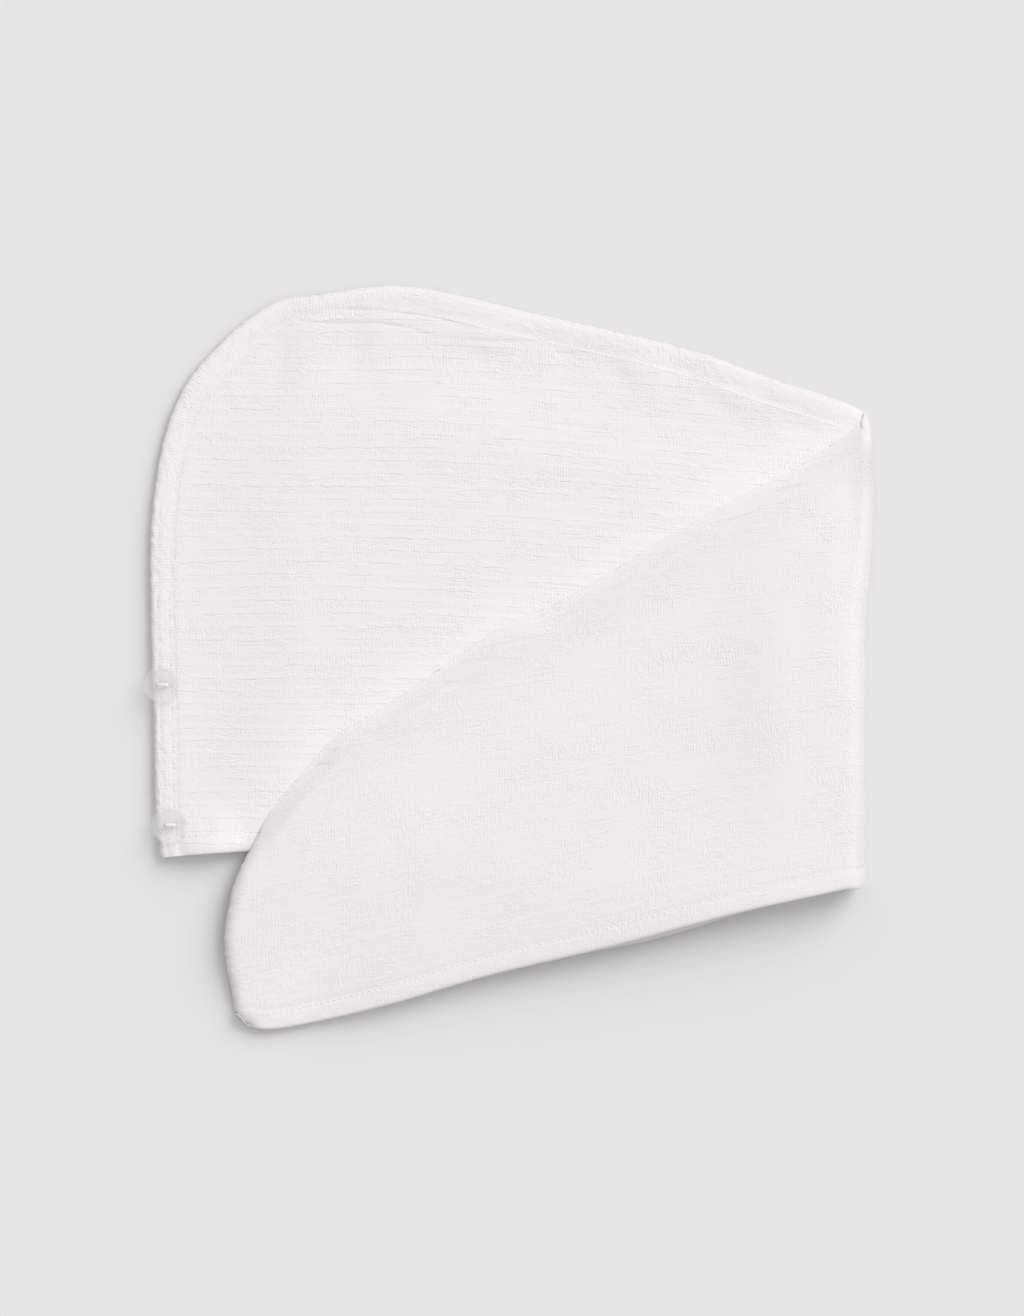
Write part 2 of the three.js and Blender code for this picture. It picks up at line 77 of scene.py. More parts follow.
CURL_REACH = 26  # how far into the cloth it curls
CURL_RISE = (3, 22)  # where the curl rises, from the nape
CURL_END = (30, 16)  # and where it ends
LEAST_CLOTH = 0.35  # the cloth is never thinner than this
BEND_EARLY = 0.75  # by this share of the bend the cloth lies as in the tail
EDGE_WAVES = ((0.2, 2.4), (0.12, 1.2))  # height and length of the waves of an edge
EDGE_WAVE_REACH = 5

# Weave
RIB_PITCH = 6.1
WALE_PITCH = 1.42
RIB_DEPTH = 0.15
TAIL_RIBS = 0.45  # how much of the ribs shows on the tail
RIB_FALL = 0.079  # slope of the ribs towards the fold
RIB_BENDS = (50, 190)  # where along the hood they start to slope
TAIL_RIB_SLOPE = 0.225
TAIL_RIB_FAN = 0.0021  # and how much less they slope with each millimetre upwards
TAIL_RIB_TOP = 300
WEAVE_TURN = 30  # length of weave in the bend
NOISE_CELLS = 64
# Slow waves of the ribs: height, length along and across them, seed
HOOD_RIB_WAVES = ((0.9, 70, 45, 3), (0.35, 22, 30, 4))
TAIL_RIB_WAVES = ((0.9, 60, 45, 5), (0.35, 22, 30, 6))
TERRY_DEPTH = 0.06
STITCH_GROOVE = (0.2, 1.3)  # depth and half width of the groove beside a hem
UNDER_BAND = 0.3  # how far the cloth lies lower under the band

# Buttons
BUTTON_DIAMETER = 18.0
BUTTON_THICKNESS = 2.6
BUTTON_INSETS = {"upper": (82.4, 5.0), "lower": (15.7, 6.4)}  # way along the seam, and in from it
BUTTON_LIFT = 0.3
HOLE_SPACING = 4.8
HOLE_RADIUS = 0.8
DISH = 0.7  # how deep the face is dished
BUTTON_SIDES = 72
HOLE_SIDES = 24
THREAD = 0.5  # thickness of one strand
STRAND_FULLNESS = 1.15
STRAND_STEPS = 43
STRANDS = ((-0.38, 0.22), (0.05, 0.22 + 0.12), (0.45, 0.22))  # sideways place, and height over the dish

# Outlines, as in the part

# Shares of the way to the fold, of the hood's height, and of its fall to the fold's height
HOOD_SEAM = [
    (0.014, 0, 0), (0.007, 0.084, 0), (0.004, 0.241, 0), (0, 0.416, 0), (0.001, 0.59, 0),
    (0.021, 0.744, 0), (0.049, 0.828, 0), (0.086, 0.884, 0), (0.132, 0.938, 0), (0.185, 0.976, 0),
    (0.24, 0.985, 0), (0.331, 1, 0), (0.409, 1, 0.042), (0.521, 1, 0.182), (0.634, 1, 0.313),
    (0.775, 1, 0.498), (0.859, 1, 0.659), (0.972, 1, 0.853), (1, 1, 0.919),
]
CROWN_ROW = 7
# Shares of the way to the fold, and of the fold's drop
HOOD_HEM = [(0.133, -0.22), (0.36, -0.33), (0.59, -0.26), (0.79, 0.04), (0.908, 0.37), (1, 0.85)]
# Shares of the way from the fold to the tail's end, of the tail's drop, and of the fold's height
TAIL_SEAM = [
    (0.962, 0.988, 0), (0.981, 0.919, 0), (0.989, 0.779, 0), (1, 0.5, 0), (0.995, 0.326, 0),
    (0.983, 0.128, 0), (0.961, 0, 0.014), (0.924, 0, 0.112), (0.868, 0, 0.208), (0.825, 0, 0.277),
    (0.748, 0, 0.346), (0.652, 0, 0.442), (0.563, 0, 0.529), (0.486, 0, 0.577), (0.39, 0, 0.657),
    (0.281, 0, 0.755), (0.185, 0, 0.831), (0.1, 0, 0.895), (0, 0, 0.993),
]
TAIL_CORNER_ROW = 6
# Shares of the way from the fold to the tail's end, and of the tail's drop
TAIL_HEM = [
    (0, 0.18), (0.168, 0.314), (0.374, 0.512), (0.581, 0.692), (0.735, 0.855), (0.865, 0.965), (0.929, 1),
]
CURVE_STEPS = 16


def plan(px, py):
    """A place on the photo as a place in the plan."""
    return (px - PHOTO_LEFT) * PIXEL, (PHOTO_BOTTOM - py) * PIXEL


def smooth(value, start, width):
    """A smooth step from 0 to 1."""
    share = np.clip((value - start) / width, 0, 1)
    return share * share * (3 - 2 * share)


def bump(distance, start, width):
    """A smooth step from 1 to 0."""
    return 1 - smooth(distance, start, width)


def lerp(a, b, share):
    return a + (b - a) * share


def bell(value, middle, width):
    return np.exp(-(((value - middle) / width) ** 2))


def pocket_gap(seam):
    return lerp(LOFT, SEAM_GAP, bump(seam, BAND_WIDTH + 2, SWELL))


def open_share(gap):
    return (gap - SEAM_GAP) / (LOFT - SEAM_GAP)


def band_rise(seam):
    return BAND_RISE * bump(seam, BAND_WIDTH + 4, BAND_FALL)


def layer_gap(hood, tail):
    return LAYER_GAP + band_rise(hood) + band_rise(tail)


def bend_axis(y):
    edge = HOOD_LENGTH - FOLD_LEAN * bump(y / FOLD_HEIGHT, 0.5, 0.25)
    seam = np.maximum(FOLD_HEIGHT - y, 0)
    return edge - (2 * CLOTH + pocket_gap(seam) + layer_gap(seam, seam) / 2)


class Edge:
    """An outline curve through table points, measured along its length."""

    def __init__(self, points):
        p = np.asarray(points, float)
        p = np.vstack([2 * p[0] - p[1], p, 2 * p[-1] - p[-2]])
        out = []
        for i in range(1, len(p) - 2):
            a, b, c, d = p[i - 1 : i + 3]
            k0, k1, k2 = (np.linalg.norm(w) ** 0.5 for w in (b - a, c - b, d - c))
            t1 = ((b - a) / k0 - (c - a) / (k0 + k1) + (c - b) / k1) * k1
            t2 = ((c - b) / k1 - (d - b) / (k1 + k2) + (d - c) / k2) * k1
            for t in np.arange(CURVE_STEPS) / CURVE_STEPS:
                out.append(b + t1 * t + (3 * (c - b) - 2 * t1 - t2) * t**2 + (2 * (b - c) + t1 + t2) * t**3)
        self.points = np.array([*out, p[-2]])
        steps = np.linalg.norm(np.diff(self.points, axis=0), axis=1)
        self.lengths = np.concatenate([[0], np.cumsum(steps)])
        self.length = self.lengths[-1]

    def row(self, i):
        return self.lengths[i * CURVE_STEPS]

    def at(self, distance):
        return np.stack([np.interp(distance, self.lengths, self.points[:, k]) for k in (0, 1)], -1)

    def inward(self, distance):
        step = self.at(np.minimum(distance + 1, self.length)) - self.at(np.maximum(distance - 1, 0))
        step /= np.linalg.norm(step, axis=-1, keepdims=True)
        return np.stack([step[..., 1], -step[..., 0]], -1)

    def nearest(self, x, y):
        """How far places lie from the curve, and where along it."""
        best, along = np.full(np.shape(x), 1e9), np.zeros(np.shape(x))
        for a, b, start in zip(self.points[:-1], self.points[1:], self.lengths):
            d = b - a
            share = np.clip(((x - a[0]) * d[0] + (y - a[1]) * d[1]) / (d @ d), 0, 1)
            off = np.hypot(x - a[0] - d[0] * share, y - a[1] - d[1] * share)
            along = np.where(off < best, start + share * np.linalg.norm(d), along)
            best = np.minimum(best, off)
        return best, along

    def distance_to(self, x, y):
        return self.nearest(x, y)[0]


AXIS_TOP = float(bend_axis(FOLD_HEIGHT))
AXIS_BOTTOM = float(bend_axis(-FOLD_DROP))
TAIL_END = HOOD_LENGTH - TAIL_LENGTH
CROWN_FALL = HOOD_HEIGHT - FOLD_HEIGHT
hood_seam = Edge([(AXIS_TOP * a, HOOD_HEIGHT * u - CROWN_FALL * f) for a, u, f in HOOD_SEAM])
tail_seam = Edge([(lerp(AXIS_TOP, TAIL_END, a), FOLD_HEIGHT * r - TAIL_DROP * d) for a, d, r in TAIL_SEAM])
hood_hem = Edge([tuple(hood_seam.at(0)), *[(AXIS_BOTTOM * a, -FOLD_DROP * d) for a, d in HOOD_HEM]])
hem_rows = [(lerp(AXIS_BOTTOM, TAIL_END, a), -TAIL_DROP * d) for a, d in TAIL_HEM]
tail_hem = Edge([*hem_rows, tuple(tail_seam.at(0))])


def noise(x, y, seed):
    """Smooth noise from -1 to 1, with one swell per unit."""
    n = NOISE_CELLS
    grid = np.random.default_rng(seed).uniform(-1, 1, (n, n))
    i, j = np.floor(x).astype(int), np.floor(y).astype(int)
    a, b = smooth(x - i, 0, 1), smooth(y - j, 0, 1)
    near = lerp(grid[i % n, j % n], grid[(i + 1) % n, j % n], a)
    far = lerp(grid[i % n, (j + 1) % n], grid[(i + 1) % n, (j + 1) % n], a)
    return lerp(near, far, b)


def waved(value, x, y, waves):
    for size, long, wide, seed in waves:
        value = value + size * noise(x / long, y / wide, seed)
    return value


# Soft forms in the cloth: photo place, half sizes along and across in millimetres, turn in degrees, height
HOOD_FORMS = [
    (283, 352, 7, 16, 0, -1.9),
    (360, 344, 7, 13, 0, -1.6),
    (472, 350, 14, 5, -12, -1.5),
    (566, 353, 8, 4, -20, -0.9),
    (622, 376, 11, 5, -40, -1.7),
    (728, 408, 13, 5, -28, -1.7),
    (805, 429, 10, 4, -15, -1.0),
]
TAIL_FORMS = [
    (730, 700, 11, 58, 0, -0.9),
    (780, 700, 11, 60, 0, 0.7),
    (465, 905, 24, 18, 10, -1.3),
    (330, 915, 12, 20, 20, -0.8),
]
# Creases: photo places along each, depth, half width
CROWN_CREASES = [
    ([(316, 306), (334, 308), (354, 309), (386, 311), (434, 317), (469, 326), (512, 331)], 0.5, 0.85),
    ([(300, 321), (330, 323), (373, 323), (408, 328), (423, 333), (451, 338), (484, 340)], 0.55, 0.9),
    ([(470, 340), (508, 341), (535, 341), (564, 339)], 0.4, 0.8),
    ([(556, 353), (580, 353), (606, 351)], 0.4, 0.7),
    ([(560, 425), (600, 430), (640, 434), (672, 436)], 0.4, 0.7),
    ([(345, 371), (370, 372), (400, 374), (440, 377)], 0.4, 0.7),
]
TAIL_CREASES = [
    ([(690, 523), (720, 519), (764, 508), (800, 500), (822, 496)], 0.7, 0.85),
    ([(745, 494), (780, 487), (820, 478), (850, 475)], 0.6, 0.85),
    ([(776, 474), (805, 466), (845, 458), (864, 456)], 0.5, 0.85),
    ([(616, 557), (655, 551), (690, 544), (720, 540)], 0.6, 0.85),
    ([(560, 591), (600, 588), (640, 581), (672, 573)], 0.6, 0.85),
    ([(512, 618), (545, 615), (575, 610), (600, 606)], 0.65, 0.8),
    ([(476, 647), (498, 641), (525, 639), (552, 637)], 0.85, 0.8),
    ([(436, 669), (461, 663), (485, 660), (512, 658)], 0.85, 0.8),
    ([(406, 689), (430, 685), (456, 683), (476, 680)], 0.8, 0.8),
    ([(371, 713), (402, 707), (427, 701), (440, 699)], 0.8, 0.8),
    ([(340, 729), (365, 730), (384, 726), (398, 723)], 0.75, 0.8),
    ([(322, 753), (340, 750), (353, 747), (368, 744)], 0.75, 0.8),
    ([(299, 767), (318, 766), (332, 765), (346, 763)], 0.75, 0.8),
]


def forms(table, x, y):
    height = np.zeros(np.shape(x))
    for px, py, along, across, turn, size in table:
        cx, cy = plan(px, py)
        cos, sin = math.cos(math.radians(turn)), math.sin(math.radians(turn))
        a = ((x - cx) * cos + (y - cy) * sin) / along
        b = ((y - cy) * cos - (x - cx) * sin) / across
        height += size * np.exp(-(a * a + b * b))
    return height


# Painted light and shade: patches where the colour is made lighter or darker for how light falls on the
# cloth, darker over its dents and hollows and lighter where it faces the light; rows as for the forms, with a
# share of the colour as height
HOOD_PAINTED_SHADING = [
    (283, 352, 7, 16, 0, -0.03),
    (360, 344, 7, 13, 0, -0.03),
    (474, 350, 14, 5, -12, -0.045),
    (622, 376, 11, 5, -40, -0.04),
    (728, 408, 13, 5, -28, -0.03),
    (400, 390, 20, 6, 0, -0.02),
    (500, 326, 16, 5, -12, 0.02),
    (665, 364, 15, 6, -28, 0.045),
    (742, 390, 12, 4, -25, 0.035),
    (628, 400, 18, 8, -20, -0.02),
    (722, 422, 14, 6, -15, -0.02),
    (425, 345, 22, 7, -5, -0.015),
    (215, 600, 22, 110, 0, 0.01),
    (560, 510, 40, 16, 0, 0.01),
]
TAIL_PAINTED_SHADING = [
    (728, 700, 17, 56, 0, -0.024),
    (252, 1020, 9, 5, 0, -0.06),
    (846, 610, 8, 75, 0, 0.035),
    (310, 965, 26, 20, 30, 0.07),
    (861, 470, 6, 42, 0, -0.045),
    (722, 755, 10, 26, 0, -0.012),
    (425, 880, 16, 11, 0, -0.025),
    (478, 676, 9, 4, 20, -0.03),
    (395, 727, 8, 4, 20, -0.025),
    (600, 602, 12, 4, 25, -0.025),
]

RIB_X = np.linspace(-20, 400, 421)
RIB_Y = np.cumsum(-RIB_FALL * smooth(RIB_X, *RIB_BENDS))
HOOD_PAINTED_LIGHT_BESIDE_TAIL = (0.042, 15)  # painted light on the hood beside the tail's edge: share of the colour, and reach
# Painted highlight just inside the tail's sewn edge and painted shade further in, where it lies on the hood:
# share of the colour, way in from the tail's sewn edge, and reach
TAIL_EDGE_PAINTED_LIGHT = (0.045, 4, 4)
TAIL_EDGE_PAINTED_SHADE = (0.018, 15, 7)


def hood_rib(x, y):
    """How far across the ribs a place on the hood lies."""
    return waved(y - np.interp(x, RIB_X, RIB_Y), x, y, HOOD_RIB_WAVES)


def tail_rib(x, y):
    """How far across the ribs a place on the tail lies."""
    run = AXIS_TOP - x
    rise = np.clip(y + TAIL_DROP, 0, TAIL_RIB_TOP)
    across = y - np.interp(AXIS_TOP, RIB_X, RIB_Y) + run * TAIL_RIB_SLOPE * (1 - TAIL_RIB_FAN * rise)
    return waved(across, x, y, TAIL_RIB_WAVES)


class Site(dict):
    """Places on the middle surface of the pocket, as arrays under names."""

    def __getattr__(self, name):
        return self[name]

    def __getitem__(self, key):
        if isinstance(key, str):
            return dict.__getitem__(self, key)
        return Site({k: v[key] for k, v in self.items()})


def across_seam(seam, along):
    """The way into the cloth from a seam, which is straight down beside the fold."""
    share = smooth(seam.length - along, 0, 3 * BAND_WIDTH)[..., None]
    way = lerp(np.array([0.0, -1.0]), seam.inward(along), share)
    return way / np.linalg.norm(way, axis=-1, keepdims=True)


def nudge(seam, p, seed, tuck=0.0):
    """Distances to a seam, and the places with its edge made slightly uneven and pulled back by tuck."""
    off, along = seam.nearest(p[..., 0], p[..., 1])
    uneven = sum(size * noise(along / long, along * 0, seed + k) for k, (size, long) in enumerate(EDGE_WAVES))
    pull = uneven * bump(off, 0, EDGE_WAVE_REACH) + tuck * np.clip(1 - off / TUCK_REACH, 0, 1) ** 2
    return off, p + across_seam(seam, along) * pull[..., None]


def hood_site(p):
    seam, p = nudge(hood_seam, p, 41)
    x, y = p[..., 0], p[..., 1]
    gap = pocket_gap(seam)
    hem = hood_hem.distance_to(x, y)
    curl = HEM_CURL * bump(hem, 0, CURL_REACH) * smooth(x, *CURL_RISE) * bump(x, *CURL_END)
    form = forms(HOOD_FORMS, x, y) * open_share(np.maximum(gap, LEAST_GAP))
    # painted light: the hood's colour is lighter near the tail's sewn edge
    light, reach = HOOD_PAINTED_LIGHT_BESIDE_TAIL
    # painted light and shade from the table make the hood's colour lighter or darker in patches
    return Site(
        x=x, y=y, seam=seam, hem=hem, gap=gap, turn=np.zeros_like(x), low=CLOTH + gap / 2 + curl,
        high=np.zeros_like(x), form=form, u=x, s=hood_rib(x, y), tail=np.zeros_like(x),
        drop=np.full_like(x, CLOTH * EDGE_SHARE), lies=np.zeros_like(x), ribbed=np.ones_like(x),
        nap=forms(HOOD_PAINTED_SHADING, x, y) + light * bell(tail_seam.distance_to(x, y), 0, reach),
    )


def tail_site(p, tuck=0.0):
    seam, p = nudge(tail_seam, p, 43, tuck)
    x, y = p[..., 0], p[..., 1]
    hood = hood_seam.distance_to(x, y)
    gap = pocket_gap(seam)
    past = np.interp(x, hood_hem.points[:, 0], hood_hem.points[:, 1]) - y
    over = 2 * CLOTH + pocket_gap(hood) + layer_gap(hood, seam)
    base = lerp(band_rise(seam), over, bump(past, LEVEL, DROOP))
    lies = bump(past, *LIES)
    drop = 2 * CLOTH + gap + band_rise(seam) - ROLL_LIFT
    edge = lies * (1 + 0.5 * noise(x / 16, y / 30, 8))
    # painted highlight near the tail's sewn edge and painted shade a little further in, where the tail lies
    # on the hood
    light, light_in, light_reach = TAIL_EDGE_PAINTED_LIGHT
    dark, dark_in, dark_reach = TAIL_EDGE_PAINTED_SHADE
    # painted light and shade from the table make the tail's colour lighter or darker in patches
    nap = forms(TAIL_PAINTED_SHADING, x, y) + light * lies * bell(seam, light_in, light_reach)
    return Site(
        x=x, y=y, seam=seam, hem=tail_hem.distance_to(x, y), gap=gap, turn=np.full_like(x, math.pi),
        low=np.zeros_like(x), high=base + CLOTH + gap / 2, form=forms(TAIL_FORMS, x, y) * open_share(gap),
        u=AXIS_TOP + WEAVE_TURN + AXIS_TOP - x, s=tail_rib(x, y), tail=np.ones_like(x),
        drop=drop + lies * (ROLL_REACH + LAYER_GAP + band_rise(hood)), lies=lies,
        ribbed=np.full_like(x, TAIL_RIBS), nap=nap - dark * edge * bell(seam, dark_in, dark_reach),
    )


def bend_sites(hood, tail, count):
    """The columns of sites between the hood's last column and the tail's first."""
    share = (np.arange(1, count) / count)[:, None]
    made = Site({k: lerp(hood[k][None, :], tail[k][None, :], share) for k in hood})
    early = smooth(share, 0, BEND_EARLY)
    for key in ("tail", "lies", "drop", "y"):
        made[key] = lerp(hood[key][None, :], tail[key][None, :], early)
    made["turn"] = np.repeat(math.pi * share, hood["x"].size, 1)
    made["low"] = np.repeat(hood["low"][None, :], count - 1, 0)
    made["high"] = np.repeat(tail["high"][None, :], count - 1, 0)
    return made


def lay(site, offset):
    """The points at an offset from the sites, where positive offsets lie on the inside of the fold."""
    radius = (site.high - site.low) / 2 - offset
    x = site.x + radius * np.sin(site.turn)
    z = (site.high + site.low) / 2 - radius * np.cos(site.turn)
    return np.stack([x - ORIGIN[0], site.y - ORIGIN[1], z], -1)


def join(hood, tail, count):
    bend = bend_sites(hood[-1], tail[0], count)
    return Site({k: np.concatenate([hood[k], bend[k], tail[k]]) for k in hood})


def across_hem(seam, share):
    at_seam = seam.at(HEM_WIDTH) - seam.at(0)
    at_seam = at_seam / np.linalg.norm(at_seam)
    way = lerp(at_seam, np.array([0.0, 1.0]), share[..., None])
    return way / np.linalg.norm(way, axis=-1, keepdims=True)


def hood_hem_place(share, inset):
    return hood_hem.at(hood_hem.length * share) + across_hem(hood_seam, share) * inset[..., None]


def tail_hem_place(share, inset):
    return tail_hem.at(tail_hem.length * share) + across_hem(tail_seam, 1 - share) * inset[..., None]


def axis_line(start, end, share):
    y = lerp(start[1], end[1], share)
    ends = lerp(start[0] - bend_axis(start[1]), end[0] - bend_axis(end[1]), share)
    return np.stack([bend_axis(y) + ends, y], -1)


def patch(lower, upper, start, end, u, v):
    """A four-sided patch blended from its edges, which are given as points."""
    u, v = u[:, None, None], v[None, :, None]
    sides = lower[:, None] * (1 - v) + upper[:, None] * v + start[None] * (1 - u) + end[None] * u
    corners = lower[0] * (1 - u) * (1 - v) + lower[-1] * u * (1 - v)
    corners = corners + upper[0] * (1 - u) * v + upper[-1] * u * v
    return sides - corners


INSET = HEM_WIDTH  # a panel's cloth starts where its turned hem ends


def hood_places(u, v):
    crown = hood_seam.row(CROWN_ROW)
    inset = np.full_like(u, INSET)
    lower = hood_hem_place(u, inset)
    return patch(
        lower, hood_seam.at(lerp(crown, hood_seam.length, u)), hood_seam.at(lerp(INSET, crown, v)),
        axis_line(lower[-1], hood_seam.at(hood_seam.length), v), u, v,
    )


def tail_places(u, v):
    corner = tail_seam.row(TAIL_CORNER_ROW)
    inset = np.full_like(u, INSET)
    lower = tail_hem_place(u, inset)
    return patch(
        lower, tail_seam.at(lerp(tail_seam.length, corner, u)),
        axis_line(lower[0], tail_seam.at(tail_seam.length), v), tail_seam.at(lerp(INSET, corner, v)), u, v,
    )


def shares(length, step, start=(), end=()):
    """Shares of a length in even steps, with closer ones at either end at the given distances."""
    low = start[-1] if start else 0
    high = length - (end[-1] if end else 0)
    middle = np.linspace(low, high, max(int(round((high - low) / step)), 1) + 1)
    return np.concatenate([start[:-1], middle, [length - e for e in end[-2::-1]]]) / length


def trimmed(values, group):
    """As many shares as make whole groups of cells, keeping both ends."""
    extra = (len(values) - 1) % group
    drop = np.linspace(len(values) * 0.35, len(values) * 0.65, extra).astype(int)
    return np.delete(values, drop)


ROUND = [0, 0.15, 0.45, 0.9, 1.5, 2.2, 3.1, 4.2]  # places from a sewn edge, closer where it rounds off
HEM_ROWS = np.array([0, 0.1, 0.35, 0.8, 1.4, 2.2, 3.2, 4.2, 5.2, 6.2, 7.2, 8.1, 8.8, 9.5])
GROUP = 6  # fine cells to a coarse one
BEND = 24  # steps round the fold

# Offsets of each face from the middle surface


def edge_round(seam, width):
    share = np.clip(seam / width, 0, 1)
    return 1 - np.sqrt(np.clip(1 - (1 - share) ** 2, 0, 1))


def rib_relief(site):
    """How deep the cloth lies between the ribs."""
    off = site.s / RIB_PITCH - np.round(site.s / RIB_PITCH)
    return RIB_DEPTH * (2 * off) ** 2 * site.ribbed


def crease_relief(table, x, y):
    depth = np.zeros(np.shape(x))
    for places, size, width in table:
        line = Edge([plan(*p) for p in places])
        off, along = line.nearest(x, y)
        run = along / line.length
        depth += size * bump(run, 0.5, 0.5) * bell(off, 0, width)
    return depth


def hem_relief(site):
    """The groove that the hem's stitches pull into the cloth."""
    depth, width = STITCH_GROOVE
    return depth * bell(site.hem, HEM_WIDTH, width)


def terry(site, seed):
    """The fine unevenness of the pile."""
    fine = noise(site.u / 1.7, site.s / 1.5, seed) + 0.7 * noise(site.u / 3.1, site.s / 2.3, seed + 1)
    return TERRY_DEPTH * (fine + 1.2)


def left_outer(site):
    share = np.clip(1 - site.seam / TAIL_SLOPE, 0, 1)
    slope = lerp(share**2, smooth(share, 0, 1), 0.7)
    over_tail = lerp(edge_round(site.seam, TAIL_ROLL), slope, site.lies)
    round_off = lerp(edge_round(site.seam, ROLL), over_tail, site.tail)
    detail = (rib_relief(site) + hem_relief(site) + terry(site, 21)) * (1 - 0.6 * round_off**2)
    detail = detail + crease_relief(TAIL_CREASES, site.x, site.y) * smooth(site.seam, 0.5, 2)
    shown = np.clip(site.tail + (site.turn > 0), 0, 1)  # the face on the surface below stays flat
    detail = detail * shown
    return -(site.gap / 2 + CLOTH) + round_off * site.drop + detail - shown * site.form


def left_inner(site):
    return np.maximum(-site.gap / 2 - site.tail * site.form, left_outer(site) + LEAST_CLOTH)


def rounded_face(site):
    """The upper face at the hood's sewn edge, without its detail."""
    return site.gap / 2 + CLOTH - edge_round(site.seam, ROLL) * CLOTH * EDGE_SHARE


def right_outer(site):
    shown = 1 - site.tail
    detail = shown * (rib_relief(site) + crease_relief(CROWN_CREASES, site.x, site.y) + terry(site, 23))
    under_band = UNDER_BAND * bump(site.seam, BAND_WIDTH - 1.6, 1.5) * smooth(site.seam, 1, 3)
    return rounded_face(site) - detail - hem_relief(site) - under_band + (shown - site.tail) * site.form


def right_inner(site):
    return site.gap / 2 + (1 - 2 * site.tail) * site.form


def hem_offsets(site, inset, outer):
    """Outer and inner offsets of a turned hem, which is rounded at its free edge."""
    side = np.sign(outer)
    thick = CLOTH + HEM_EXTRA * open_share(site.gap)
    roll = edge_round(inset, HEM_ROLL) * thick * 0.5
    swell = HEM_SWELL * np.sin(np.clip(inset / HEM_WIDTH, 0, 1) * math.pi)
    return outer - side * (roll - swell), side * (np.abs(outer) - thick) + side * roll


def new_object(name, points, faces, site_uv=None, slot=None, values=()):
    mesh = bpy.data.meshes.new(name)
    mesh.from_pydata((np.asarray(points) * MM).tolist(), [], faces)
    mesh.validate()
    mesh.polygons.foreach_set("use_smooth", np.ones(len(mesh.polygons), bool))
    if site_uv is not None:
        layer = mesh.uv_layers.new(name="weave")
        loops = np.zeros(len(mesh.loops), np.int32)
        mesh.loops.foreach_get("vertex_index", loops)
        layer.data.foreach_set("uv", (np.asarray(site_uv)[loops] * MM).astype(np.float32).ravel())
    for key, value in values:
        attribute = mesh.attributes.new(key, "FLOAT", "POINT")
        attribute.data.foreach_set("value", np.asarray(value, np.float32))
    obj = bpy.data.objects.new(name, mesh)
    bpy.context.scene.collection.objects.link(obj)
    if slot:
        obj.data.materials.append(materials[slot])
    return obj


def kept(count, group):
    """Every so many of the places, and the last one."""
    places = np.arange(0, count, group)
    return places if places[-1] == count - 1 else np.append(places, count - 1)


def sheet(name, site, outer, inner, slot, group=GROUP):
    """A closed sheet with a fine outer face and a coarser inner one."""
    columns, rows = site.x.shape
    ci, cj = kept(columns, group), kept(rows, group)
    last_i, last_j = len(ci) - 1, len(cj) - 1
    coarse_grid = np.ix_(ci, cj)
    fine = lay(site, outer).reshape(-1, 3)
    coarse = lay(site, inner)[coarse_grid].reshape(-1, 3)
    start = len(fine)

    def on_fine(i, j):
        return int(i) * rows + int(j)

    def on_coarse(i, j):
        return start + i * len(cj) + j

    grid = np.arange(columns * rows).reshape(columns, rows)
    quads = np.stack([grid[:-1, :-1], grid[:-1, 1:], grid[1:, 1:], grid[1:, :-1]], -1).reshape(-1, 4)
    faces = quads.tolist()
    for i in range(last_i):
        for j in range(last_j):
            faces.append([on_coarse(i, j), on_coarse(i + 1, j), on_coarse(i + 1, j + 1), on_coarse(i, j + 1)])
    for i in range(last_i):
        run = range(ci[i], ci[i + 1] + 1)
        first, final = [on_fine(k, 0) for k in run], [on_fine(k, rows - 1) for k in reversed(run)]
        faces.append([*first, on_coarse(i + 1, 0), on_coarse(i, 0)])
        faces.append([*final, on_coarse(i, last_j), on_coarse(i + 1, last_j)])
    for j in range(last_j):
        run = range(cj[j], cj[j + 1] + 1)
        first, final = [on_fine(0, k) for k in reversed(run)], [on_fine(columns - 1, k) for k in run]
        faces.append([*first, on_coarse(0, j), on_coarse(0, j + 1)])
        faces.append([*final, on_coarse(last_i, j + 1), on_coarse(last_i, j)])
    uv = np.stack([site.u, site.s], -1)
    uv = np.vstack([uv.reshape(-1, 2), uv[coarse_grid].reshape(-1, 2)])
    # the share of painted light and shade, and the strength of the ribs, go onto the mesh as attributes
    values = [(k, np.concatenate([site[k].ravel(), site[k][coarse_grid].ravel()])) for k in ("nap", "ribbed")]
    obj = new_object(name, np.vstack([fine, coarse]), faces, uv, slot, values)
    tidy_faces(obj)
    return obj


def tidy_faces(obj):
    """Turns every face of a closed mesh outwards and keeps its rims crisp."""
    bm = bmesh.new()
    bm.from_mesh(obj.data)
    if bm.calc_volume(signed=True) < 0:
        bmesh.ops.reverse_faces(bm, faces=bm.faces)
    for edge in bm.edges:
        edge.smooth = edge.calc_face_angle(0) < 0.7
    bm.to_mesh(obj.data)
    bm.free()


# Materials

# Noise in the cloth: scales along and across the weave
PATCHES = (45, 70)
UPRIGHT_WISPS = (860, 270)
LEVEL_WISPS = (230, 980)
LOOPS = (1060, 1000)
WALE_WANDER = (160, 220)
VIGOUR = (38, 52)
SWAY = (120, 180)
SWAY_WIDTH = 0.0022  # in metres
LEAST_VIGOUR = 0.35
WALE_HEIGHT = 0.07
CREASE_DEPTH = 0.4
# painted shade in the creases, as a share of the colour
CREASE_PAINTED_SHADE = 0.05
LIFT = (0, 0, 0.7)  # how strongly slopes are shaded as if they were level


